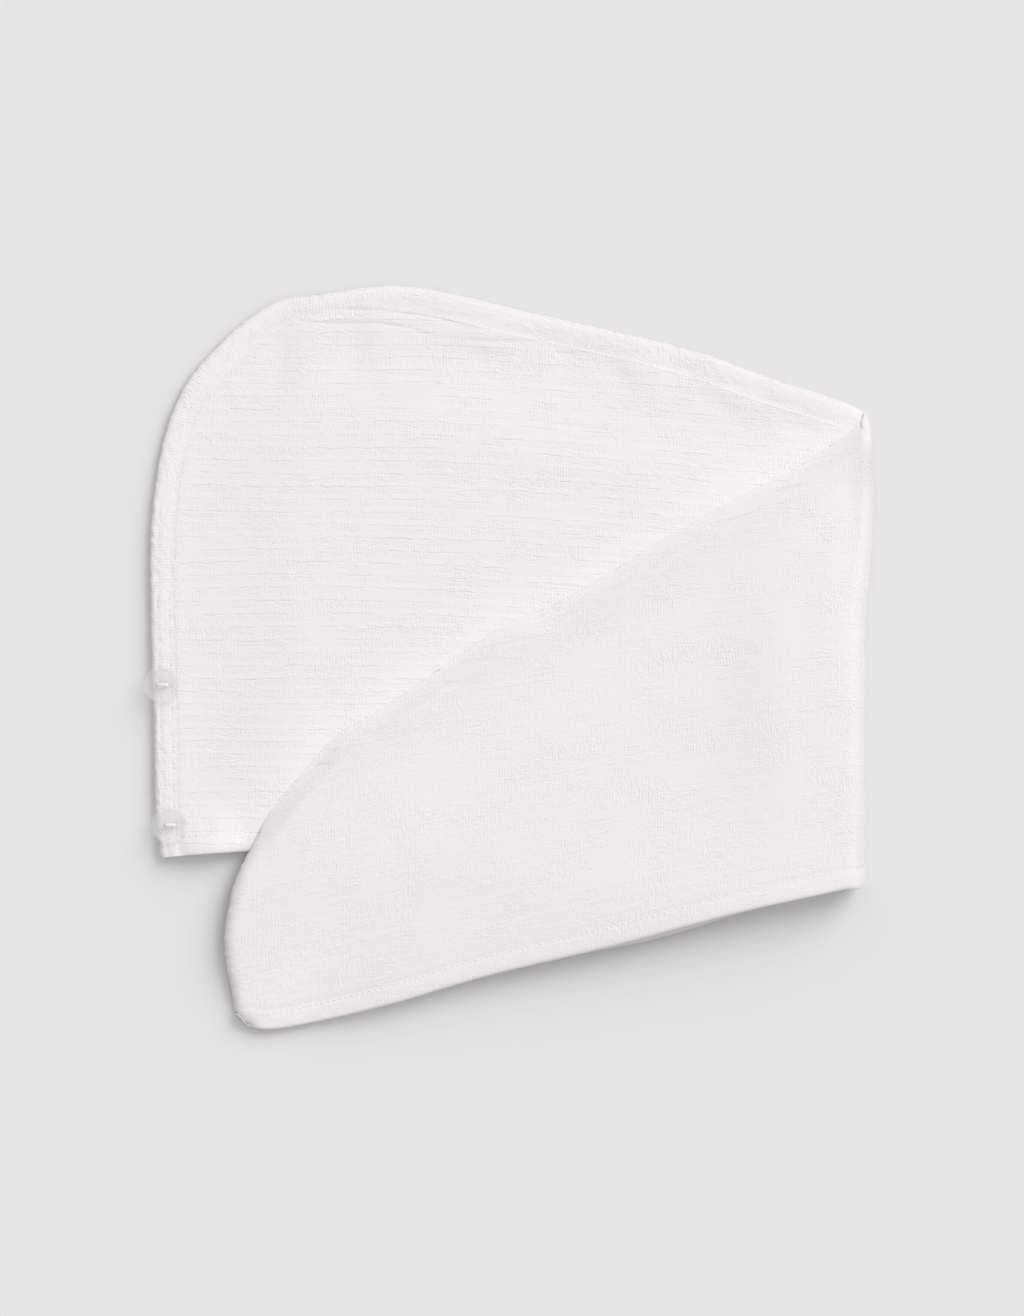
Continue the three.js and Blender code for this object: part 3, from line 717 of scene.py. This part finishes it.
class Shading:
    """Makes and links the shader nodes of one cloth material."""

    def __init__(self, material):
        self.nodes, self.links = material.node_tree.nodes, material.node_tree.links
        self.uv = self.nodes.new("ShaderNodeUVMap")
        self.uv.uv_map = "weave"
        split = self.nodes.new("ShaderNodeSeparateXYZ")
        self.links.new(self.uv.outputs["UV"], split.inputs["Vector"])
        self.u, self.s = split.outputs["X"], split.outputs["Y"]
        self.normal = self.nodes.new("ShaderNodeNewGeometry").outputs["Normal"]

    def noise_at(self, vector, detail, roughness=0.5):
        node = self.nodes.new("ShaderNodeTexNoise")
        node.inputs["Scale"].default_value = 1
        node.inputs["Detail"].default_value = detail
        node.inputs["Roughness"].default_value = roughness
        self.links.new(vector, node.inputs["Vector"])
        return node.outputs["Fac"]

    def texture(self, scale, detail, roughness=0.5):
        node = self.nodes.new("ShaderNodeMapping")
        node.inputs["Scale"].default_value = (*scale, 1)
        self.links.new(self.uv.outputs["UV"], node.inputs["Vector"])
        return self.noise_at(node.outputs["Vector"], detail, roughness)

    def calc(self, kind, a, b=None, c=None, clamp=False):
        node = self.nodes.new("ShaderNodeMath")
        node.operation = kind
        node.use_clamp = clamp
        for k, value in enumerate((a, b, c)):
            if value is None:
                continue
            if isinstance(value, (int, float)):
                node.inputs[k].default_value = value
            else:
                self.links.new(value, node.inputs[k])
        return node.outputs["Value"]

    def times(self, a, b):
        return self.calc("MULTIPLY", a, b)

    def attribute(self, name):
        node = self.nodes.new("ShaderNodeAttribute")
        node.attribute_name = name
        return node.outputs["Fac"]

    def colour(self, low, high, factor):
        mix = self.nodes.new("ShaderNodeMix")
        mix.data_type = "RGBA"
        mix.inputs["A"].default_value = (*low, 1)
        mix.inputs["B"].default_value = (*high, 1)
        self.links.new(factor, mix.inputs["Factor"])
        return mix.outputs["Result"]


def pile_height(shading):
    """Wisps of pile, upright in some patches and level in others, and stronger in some."""
    calc, texture = shading.calc, shading.texture
    strands = shading.nodes.new("ShaderNodeMix")
    patch_share = calc("MULTIPLY_ADD", texture(PATCHES, 2), 4.0, -1.4, clamp=True)
    shading.links.new(patch_share, strands.inputs["Factor"])
    shading.links.new(texture(UPRIGHT_WISPS, 1), strands.inputs["A"])
    shading.links.new(texture(LEVEL_WISPS, 1), strands.inputs["B"])
    loops = texture(LOOPS, 2, 0.6)
    wander = shading.times(texture(WALE_WANDER, 2), 9.0)
    turn = calc("MULTIPLY_ADD", shading.u, 2 * math.pi / (WALE_PITCH * MM), wander)
    wale = shading.times(calc("SINE", turn), WALE_HEIGHT)
    pile = calc("ADD", calc("ADD", strands.outputs["Result"], loops), wale)
    vigour = calc("MULTIPLY_ADD", texture(VIGOUR, 2, 0.6), 3.4, -0.9)
    return shading.times(calc("SUBTRACT", pile, 1.0), calc("MAXIMUM", vigour, LEAST_VIGOUR))


def dashes(shading, pitch, reach, width, seed, share):
    """Creases at an even pitch across the weave, broken into dashes."""
    calc = shading.calc
    sway = calc("MULTIPLY_ADD", shading.texture(SWAY, 2), SWAY_WIDTH, -SWAY_WIDTH / 2)
    place = calc("DIVIDE", calc("ADD", shading.s, sway), pitch * MM)
    line = calc("ROUND", place)
    off = calc("DIVIDE", calc("ABSOLUTE", calc("SUBTRACT", place, line)), width / pitch)
    across = calc("SUBTRACT", 1.0, calc("MINIMUM", off, 1.0))
    spot = shading.nodes.new("ShaderNodeCombineXYZ")
    along = calc("MULTIPLY_ADD", shading.u, 1 / MM / reach, shading.times(line, 7.31))
    shading.links.new(along, spot.inputs["X"])
    shading.links.new(shading.times(line, 1.73), spot.inputs["Y"])
    spot.inputs["Z"].default_value = seed
    dash = calc("MULTIPLY_ADD", shading.noise_at(spot.outputs["Vector"], 3, 0.6), 7.0, share, clamp=True)
    return shading.times(shading.times(across, across), dash)


def rib_creases(shading):
    """Creases between the ribs, and weaker ones along their middles."""
    strong = dashes(shading, RIB_PITCH, 15, 0.75, 5, -3.0)
    weak = dashes(shading, RIB_PITCH / 2, 11, 0.6, 9, -3.5)
    crease = shading.calc("ADD", strong, shading.times(weak, 0.5))
    return shading.times(crease, shading.attribute("ribbed"))


def soft_normal(shading):
    """The pile scatters light much as level cloth does, so broad slopes shade softly."""
    lifted = shading.nodes.new("ShaderNodeVectorMath")
    lifted.operation = "ADD"
    shading.links.new(shading.normal, lifted.inputs[0])
    lifted.inputs[1].default_value = LIFT
    level = shading.nodes.new("ShaderNodeVectorMath")
    level.operation = "NORMALIZE"
    shading.links.new(lifted.outputs["Vector"], level.inputs[0])
    return level.outputs["Vector"]


def tone_with_painted_light(shading, crease):
    """The cloth's lightness, with painted light and shade: the mesh's share of painted light and shade,
    painted shade on slopes by how far their normal tips from upright, and painted shade in the creases.
    """
    calc = shading.calc
    steep = shading.nodes.new("ShaderNodeSeparateXYZ")
    shading.links.new(shading.normal, steep.inputs["Vector"])
    z = calc("MAXIMUM", steep.outputs["Z"], 0.0)
    # painted shade on slopes and rims, strongest where the normal is tipped about halfway
    slope_painted_shade = shading.times(calc("SUBTRACT", 1.0, z), calc("MULTIPLY_ADD", z, 0.4, 0.04))
    # painted shade in the creases
    painted_darkening = calc("MULTIPLY_ADD", crease, CREASE_PAINTED_SHADE, slope_painted_shade)
    return calc("SUBTRACT", calc("ADD", shading.attribute("nap"), 1.0), painted_darkening)


def cloth_material(name, colour, pile_painted_shade, strength, distance):
    """Terry cloth, with the strength and the height in millimetres of its pile; its colour carries painted
    shade in the pile's hollows, in the creases and on slopes, and the mesh's painted light and shade.
    """
    material = bpy.data.materials.new(name)
    material.use_nodes = True
    shader = material.node_tree.nodes["Principled BSDF"]
    shader.inputs["Roughness"].default_value = 0.95
    shader.inputs["Specular IOR Level"].default_value = 0.1
    shader.inputs["Sheen Weight"].default_value = 0.05
    shader.inputs["Sheen Roughness"].default_value = 0.6
    shading = Shading(material)
    nodes, links = shading.nodes, shading.links
    pile = pile_height(shading)
    crease = rib_creases(shading)
    relief = nodes.new("ShaderNodeBump")
    relief.inputs["Strength"].default_value = strength
    relief.inputs["Distance"].default_value = distance * MM
    links.new(shading.calc("SUBTRACT", pile, shading.times(crease, CREASE_DEPTH)), relief.inputs["Height"])
    links.new(soft_normal(shading), relief.inputs["Normal"])
    links.new(relief.outputs["Normal"], shader.inputs["Normal"])
    # painted shade: the colour falls to the darker shade colour where the pile is low
    cloth = shading.colour(pile_painted_shade, colour, shading.calc("MULTIPLY_ADD", pile, 1.3, 0.5, clamp=True))
    scale = nodes.new("ShaderNodeVectorMath")
    scale.operation = "SCALE"
    links.new(cloth, scale.inputs["Vector"])
    links.new(tone_with_painted_light(shading, crease), scale.inputs["Scale"])
    links.new(scale.outputs["Vector"], shader.inputs["Base Color"])
    return material


def plain_material(name, colour, roughness, specular=0.3):
    material = bpy.data.materials.new(name)
    material.use_nodes = True
    shader = material.node_tree.nodes["Principled BSDF"]
    shader.inputs["Base Color"].default_value = (*colour, 1)
    shader.inputs["Roughness"].default_value = roughness
    shader.inputs["Specular IOR Level"].default_value = specular
    return material


def button_material(name):
    """Clear plastic with a soft gloss."""
    material = plain_material(name, (0.83, 0.815, 0.815), 0.14, 0.5)
    shader = material.node_tree.nodes["Principled BSDF"]
    shader.inputs["Alpha"].default_value = 0.17
    return material


CLOTH_COLOUR = (0.9, 0.868, 0.874)
# the darker colour is painted shade for the hollows of the pile
CLOTH_PAINTED_SHADE = (0.845, 0.812, 0.82)
materials = {
    "terry": cloth_material("terry", CLOTH_COLOUR, CLOTH_PAINTED_SHADE, 0.55, 0.45),
    "hem": cloth_material("hem", CLOTH_COLOUR, CLOTH_PAINTED_SHADE, 0.55, 0.45),
    "seam": cloth_material("seam", CLOTH_COLOUR, CLOTH_PAINTED_SHADE, 0.65, 0.5),
    "button": button_material("button"),
    "thread": plain_material("thread", (0.86, 0.83, 0.835), 0.8, 0.15),
}

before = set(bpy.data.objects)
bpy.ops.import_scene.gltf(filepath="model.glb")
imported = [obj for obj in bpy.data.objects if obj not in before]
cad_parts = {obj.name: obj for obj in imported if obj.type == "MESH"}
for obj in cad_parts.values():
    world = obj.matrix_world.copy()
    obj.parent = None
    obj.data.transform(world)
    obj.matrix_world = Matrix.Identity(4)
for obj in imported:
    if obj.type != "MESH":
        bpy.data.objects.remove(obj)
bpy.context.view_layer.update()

# Panels and hems

HOOD_RUN = 339  # lengths that the cells are counted on
TAIL_RUN = 306
HOOD_RISE = 262
FINE = 1.5  # cell sizes: of the shown faces, of the hidden ones, and up both
COARSE = 6
UPWARDS = 0.9
hood_fine = trimmed(shares(HOOD_RUN, FINE, ROUND), GROUP)
hood_coarse = trimmed(shares(HOOD_RUN, COARSE, ROUND), GROUP)
tail_fine = trimmed(shares(TAIL_RUN, FINE, (), ROUND), GROUP)
tail_coarse = trimmed(shares(TAIL_RUN, COARSE, (), ROUND), GROUP)
up = trimmed(shares(HOOD_RISE, UPWARDS, (), ROUND), GROUP)
HEM_GROUP = 2


def panel_sites(hood_u, tail_u, tuck):
    return join(hood_site(hood_places(hood_u, up)), tail_site(tail_places(tail_u, up), tuck), BEND)


def hem_sites(hood_u, tail_u, peek, tuck):
    shown = np.sin(math.pi * np.clip((tail_u - PEEK_START) / (PEEK_END - PEEK_START), 0, 1))
    grid = np.meshgrid(hood_u, HEM_ROWS, indexing="ij")
    hood = hood_site(hood_hem_place(grid[0], grid[1]))
    grid = np.meshgrid(tail_u, HEM_ROWS, indexing="ij")
    inset = grid[1] - peek * shown[:, None] * (1 - grid[1] / HEM_WIDTH)
    tail = tail_site(tail_hem_place(grid[0], inset), tuck)
    site = join(hood, tail, BEND)
    inset = np.repeat(HEM_ROWS[None, :], site.x.shape[0], 0)
    return site, inset


left = panel_sites(hood_coarse, tail_fine, 0)
right = panel_sites(hood_fine, tail_coarse, TUCK)
left_panel = sheet("left_cloth", left, left_outer(left), left_inner(left), "terry")
right_panel = sheet("right_cloth", right, right_outer(right), right_inner(right), "terry")
site, inset = hem_sites(hood_coarse, tail_fine, 0, 0)
outer, inner = hem_offsets(site, inset, left_outer(site))
left_hem = sheet("left_turned_hem", site, outer, inner, "hem", HEM_GROUP)
site, inset = hem_sites(hood_fine, tail_coarse, HEM_PEEK, TUCK)
outer, inner = hem_offsets(site, inset, right_outer(site))
right_hem = sheet("right_turned_hem", site, outer, inner, "hem", HEM_GROUP)

# Seam band

BAND_ROWS = np.array([
    0, 0.15, 0.45, 0.9, 1.5, 2.2, 2.9, 3.6, 4.4, 5.2, 6, 6.8, 7.6, 8.4,
    9.1, 9.8, 10.5, 11.2, 11.8, 12.2, 12.5,
])
BAND_STEP = 0.7  # cell length along the shown band, and along the hidden one
HIDDEN_STEP = 6
BAND_GROUP = 4
BAND_TUCK = TUCK + 1
BAND_ROLL = 3.2
NAPE_END = 110  # how far up the seam the nape reaches, and over which length it ends
STITCH_LINES = (3.6, 9.4)  # how far in the band's two rows of stitches lie
GROOVE = 0.36
BAND_PAINTED_LIGHT = 0.018  # painted light and painted shade: share of its colour by which the band is lighter, and by which it is darker at the nape
BAND_PAINTED_SHADE = 0.012
BAND_SKIN = 0.05
BAND_SINK = 0.1  # how far it reaches into the cloth below


def nape_share(along):
    """How much the band is sewn through and rough, which it is most at the nape."""
    return lerp(0.15, 1, bump(along, NAPE_END, NAPE_END))


def band_sites(seam, site, step):
    count = int(round(seam.length / step))
    along = np.linspace(0, seam.length, count + 1)
    places = seam.at(along)[:, None] + across_seam(seam, along)[:, None] * BAND_ROWS[None, :, None]
    made = site(places)
    made["under"] = right_outer(made)
    made["u"] = np.repeat(along[:, None], len(BAND_ROWS), 1)
    made["s"] = np.repeat(BAND_ROWS[None, :], len(along), 0)
    made["inset"] = made["s"]
    return made


def tucked_site(p):
    return tail_site(p, BAND_TUCK)


hood_band = band_sites(hood_seam, hood_site, BAND_STEP)
tail_band = band_sites(tail_seam, tucked_site, HIDDEN_STEP)
tail_band = Site({k: v[::-1] for k, v in tail_band.items()})
band = join(hood_band, tail_band, BEND)
band["ribbed"] = band.x * 0
sewn = nape_share(band.u)
# painted light on the band along the crown, and painted shade on it along the nape
band["nap"] = band.nap + lerp(BAND_PAINTED_LIGHT, -BAND_PAINTED_SHADE, sewn)


def band_relief(band):
    """Height of the band's upper face over its base: its body, its roughness and its stitch lines."""
    body = (1 - edge_round(band.inset, BAND_ROLL)) * bump(band.inset, 5, BAND_WIDTH - 5)
    first, second = STITCH_LINES
    groove = GROOVE * (bell(band.inset, first, 0.8) + 0.6 * bell(band.inset, second, 0.9))
    rough = 0.24 * noise(band.u / 3.2 + band.inset / 4, band.inset / 1.6, 31)
    rough = rough + 0.16 * noise(band.u / 1.4, band.inset / 1.2, 32)
    fade = smooth(band.inset, 0, 1.5) * bump(band.inset, BAND_WIDTH - 5, 5)
    loose = (rough * lerp(0.4, 1, sewn) - groove * sewn) * fade
    return (BAND_RISE - BAND_SKIN) * body * lerp(0.2, 1, sewn) + loose


base = lerp(rounded_face(band), band.under, smooth(band.inset, 4, BAND_WIDTH - 4))
band_top = np.maximum(base + BAND_SKIN + band_relief(band), band.under + BAND_SKIN)
seam_band = sheet("seam_band_cloth", band, band_top, band.under - BAND_SINK, "seam", BAND_GROUP)

# Buttons and their threads


def tube(path, radius, sides=8):
    """Points and faces of a closed round tube along a path."""
    path = np.asarray(path, float)
    way = np.gradient(path, axis=0)
    way /= np.linalg.norm(way, axis=1, keepdims=True)
    up_way = np.array([0.31, 0.93, 0.2])
    a = np.cross(way, up_way)
    a /= np.linalg.norm(a, axis=1, keepdims=True)
    b = np.cross(way, a)
    turn = np.linspace(0, 2 * math.pi, sides, endpoint=False)
    ring = a[:, None] * np.cos(turn)[None, :, None] + b[:, None] * np.sin(turn)[None, :, None]
    points = (path[:, None] + ring * radius).reshape(-1, 3)
    faces = []
    for i in range(len(path) - 1):
        for j in range(sides):
            k = (j + 1) % sides
            faces.append([i * sides + j, i * sides + k, (i + 1) * sides + k, (i + 1) * sides + j])
    faces.append(list(range(sides))[::-1])
    faces.append([(len(path) - 1) * sides + j for j in range(sides)])
    return points, faces


def gather(parts):
    """The points and faces of several parts as those of one."""
    points, faces, start = [], [], 0
    for p, f in parts:
        points.append(p)
        faces += [[k + start for k in face] for face in f]
        start += len(p)
    return np.vstack(points), faces


def turned(profile, sides):
    """Points and faces of a closed form turned round the upright axis, from radii and heights."""
    turn = np.linspace(0, 2 * math.pi, sides, endpoint=False)
    points = [[0, 0, 0]]
    for r, z in profile[1:-1]:
        points += np.stack([r * np.cos(turn), r * np.sin(turn), np.full(sides, z)], -1).tolist()
    points.append([0, 0, profile[-1][1]])
    faces = []
    for j in range(sides):
        k = (j + 1) % sides
        faces.append([0, 1 + k, 1 + j])
        last = 1 + (len(profile) - 3) * sides
        faces.append([len(points) - 1, last + j, last + k])
        for i in range(len(profile) - 3):
            a, b = 1 + i * sides, 1 + (i + 1) * sides
            faces.append([a + j, a + k, b + k, b + j])
    return np.array(points), faces


def button(name, place):
    radius = BUTTON_DIAMETER / 2
    t = BUTTON_THICKNESS
    profile = [
        (0, 0), (radius - 2.2, 0), (radius - 1.0, 0.25), (radius - 0.3, 0.7), (radius, 1.25),
        (radius - 0.06, 1.8), (radius - 0.3, 2.3), (radius - 0.8, t), (radius - 1.3, t - 0.02),
        (radius - 1.9, t - 0.3), (radius - 2.5, t - 0.62), (radius - 3.2, t - DISH), (0, t - 0.78),
    ]
    points, faces = turned(profile, BUTTON_SIDES)
    disc = new_object(name, points + place, faces, None, "button")
    for side in (-1, 1):
        path = [[side * HOLE_SPACING / 2, 0, z] for z in (-3, 0, 3, 6)]
        cut, cut_faces = tube(path, HOLE_RADIUS, HOLE_SIDES)
        cutter = new_object("cutter", cut + place, cut_faces)
        tidy_faces(cutter)
        modifier = disc.modifiers.new("hole", "BOOLEAN")
        modifier.operation = "DIFFERENCE"
        modifier.object = cutter
        bpy.context.view_layer.objects.active = disc
        bpy.ops.object.modifier_apply(modifier=modifier.name)
        bpy.data.objects.remove(cutter)
    return disc


def button_thread(name, place):
    """Three strands that come up through one hole and go down the other."""
    half = HOLE_SPACING / 2
    top = BUTTON_THICKNESS - DISH
    parts = []
    for shift, lift in STRANDS:
        low, high, bow = -0.3, top + lift, top + lift + 0.15
        path = [
            (-half, shift * 0.5, low), (-half, shift * 0.7, top + low), (-half + 0.45, shift, high),
            (-half / 2, shift * 1.2 - 0.1, bow), (half / 2, shift * 1.2 - 0.15, bow),
            (half - 0.45, shift, high), (half, shift * 0.7, top + low), (half, shift * 0.5, low),
        ]
        path = np.array(path) + place
        steps = np.linspace(0, len(path) - 1, STRAND_STEPS)
        line = np.stack([np.interp(steps, range(len(path)), path[:, i]) for i in range(3)], -1)
        for _ in range(2):
            line[1:-1] = (line[:-2] + 2 * line[1:-1] + line[2:]) / 4
        parts.append(tube(line, THREAD / 2 * STRAND_FULLNESS))
    points, faces = gather(parts)
    return new_object(name, points, faces, None, "thread")


fixings = []
for key, (height, inset_x) in BUTTON_INSETS.items():
    edge = hood_seam.at(height)
    z = 2 * CLOTH + SEAM_GAP + BAND_RISE + BUTTON_LIFT
    place = np.array([edge[0] + inset_x - ORIGIN[0], edge[1] - ORIGIN[1], z])
    fixings.append((key, button(f"button_{key}_disc", place), button_thread(f"button_{key}_thread", place)))

# Stitches


# Pitch, length and radius of the stitches, and how far over the face they lie
HEM_STITCH = (2.9, 2.2, 0.24)
BAND_STITCH = (2.6, 1.9, 0.2)
HEM_STITCH_LIFT = 0.05
HEM_STITCH_IN = HEM_WIDTH - 0.35
HEM_SHARES = (0.004, 0.996, 60)  # first and last share of the hem, and the number of places
HOOD_HEM_SHOWN = 30  # places on the hood's hem, as the rest of it lies under the tail
BAND_STITCHES = (8, 125, 60)  # first and last way along the seam, and the number of places
STITCH_STEPS = (-0.5, -0.36, 0, 0.36, 0.5)
STITCH_SIDES = 6


def sag(t, radius):
    """How far a stitch comes down at a share of its length from its middle."""
    return np.array([0, 0, radius * (abs(t) * 2) ** 2 * 1.2])


def capsules(centres, ways, length, radius):
    parts = []
    for centre, way in zip(centres, ways):
        path = [centre + way * length * t - sag(t, radius) for t in STITCH_STEPS]
        parts.append(tube(path, radius, STITCH_SIDES))
    return gather(parts)


def stitch_row(places, site_of, outer_of, lift, pitch, length, radius):
    """Stitches along a line of plan places, laid on a face."""
    line = Edge(places)
    along = np.arange(pitch, line.length - pitch / 2, pitch)
    sites = site_of(line.at(along))
    points = lay(sites, outer_of(sites) + lift)
    way = line.at(along + 0.5) - line.at(along - 0.5)
    way = np.column_stack([way, np.zeros(len(way))])
    way /= np.linalg.norm(way, axis=1, keepdims=True)
    return capsules(points, way, length, radius)


share = np.linspace(*HEM_SHARES)
hem_in = np.full_like(share, HEM_STITCH_IN)
tail_line = tail_hem_place(share, hem_in)
hood_line = hood_hem_place(share[:HOOD_HEM_SHOWN], hem_in[:HOOD_HEM_SHOWN])
rows = [
    stitch_row(tail_line, tail_site, left_outer, -HEM_STITCH_LIFT, *HEM_STITCH),
    stitch_row(hood_line, hood_site, right_outer, HEM_STITCH_LIFT, *HEM_STITCH),
]
hem_stitches = new_object("hem_stitches", *gather(rows), None, "thread")


def band_line(inset_mm):
    along = np.linspace(*BAND_STITCHES)
    return hood_seam.at(along) + hood_seam.inward(along) * inset_mm


rows = [
    stitch_row(band_line(inset_mm), hood_site, rounded_face, rise, *BAND_STITCH)
    for inset_mm, rise in zip(STITCH_LINES, (BAND_RISE - 0.35, -0.1))
]
band_stitches = new_object("band_stitches", *gather(rows), None, "seam")

# What each piece stands for

for piece, node in (
    (left_panel, "left_panel"), (right_panel, "right_panel"), (left_hem, "left_hem"),
    (right_hem, "right_hem"), (seam_band, "seam_band"),
):
    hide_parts(node)
for key, disc, thread in fixings:
    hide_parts(f"button_{key}")
    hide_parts(f"thread_{key}")
for piece in (
    left_panel, right_panel, left_hem, right_hem, seam_band, hem_stitches, band_stitches,
    *[p for _, disc, thread in fixings for p in (disc, thread)],
):
    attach(piece, "root")

# Surface, light and camera

GROUND_SIZE = 6
GROUND_COLOUR = (0.786, 0.786, 0.786)
bpy.ops.mesh.primitive_plane_add(size=GROUND_SIZE, location=(0, 0, 0))
ground = bpy.context.object
ground.name = "ground"
ground.data.materials.append(plain_material("ground", GROUND_COLOUR, 1, 0))

# One wide soft light from the upper right: azimuth from +X towards +Y, height above the surface
LIGHT_AZIMUTH = math.radians(45)
LIGHT_HEIGHT = math.radians(31)
LIGHT_STRENGTH = 2.0
LIGHT_WIDTH = math.radians(40)
FILL_STRENGTH = 0.67
light_data = bpy.data.lights.new("key", "SUN")
light_data.energy = LIGHT_STRENGTH
light_data.angle = LIGHT_WIDTH
light = bpy.data.objects.new("key", light_data)
bpy.context.scene.collection.objects.link(light)
out = math.cos(LIGHT_HEIGHT)
toward = Vector((math.cos(LIGHT_AZIMUTH) * out, math.sin(LIGHT_AZIMUTH) * out, math.sin(LIGHT_HEIGHT)))
light.rotation_euler = toward.to_track_quat("Z", "Y").to_euler()

world = bpy.data.worlds.new("fill")
world.use_nodes = True
world.node_tree.nodes["Background"].inputs["Color"].default_value = (1, 1, 1, 1)
world.node_tree.nodes["Background"].inputs["Strength"].default_value = FILL_STRENGTH
bpy.context.scene.world = world

SENSOR = 36
CAMERA_PLACE = (0.00225, -0.00015, 4)
CAMERA_TO_CLOTH = 3.99
VIEW_HEIGHT = 0.6251  # metres of the cloth's plane that the picture shows from its foot to its top
camera_data = bpy.data.cameras.new("camera")
camera_data.sensor_width = SENSOR
camera_data.lens = SENSOR * CAMERA_TO_CLOTH / VIEW_HEIGHT
camera = bpy.data.objects.new("camera", camera_data)
camera.location = CAMERA_PLACE
bpy.context.scene.collection.objects.link(camera)
bpy.context.scene.camera = camera
bpy.context.scene.view_settings.view_transform = "Standard"
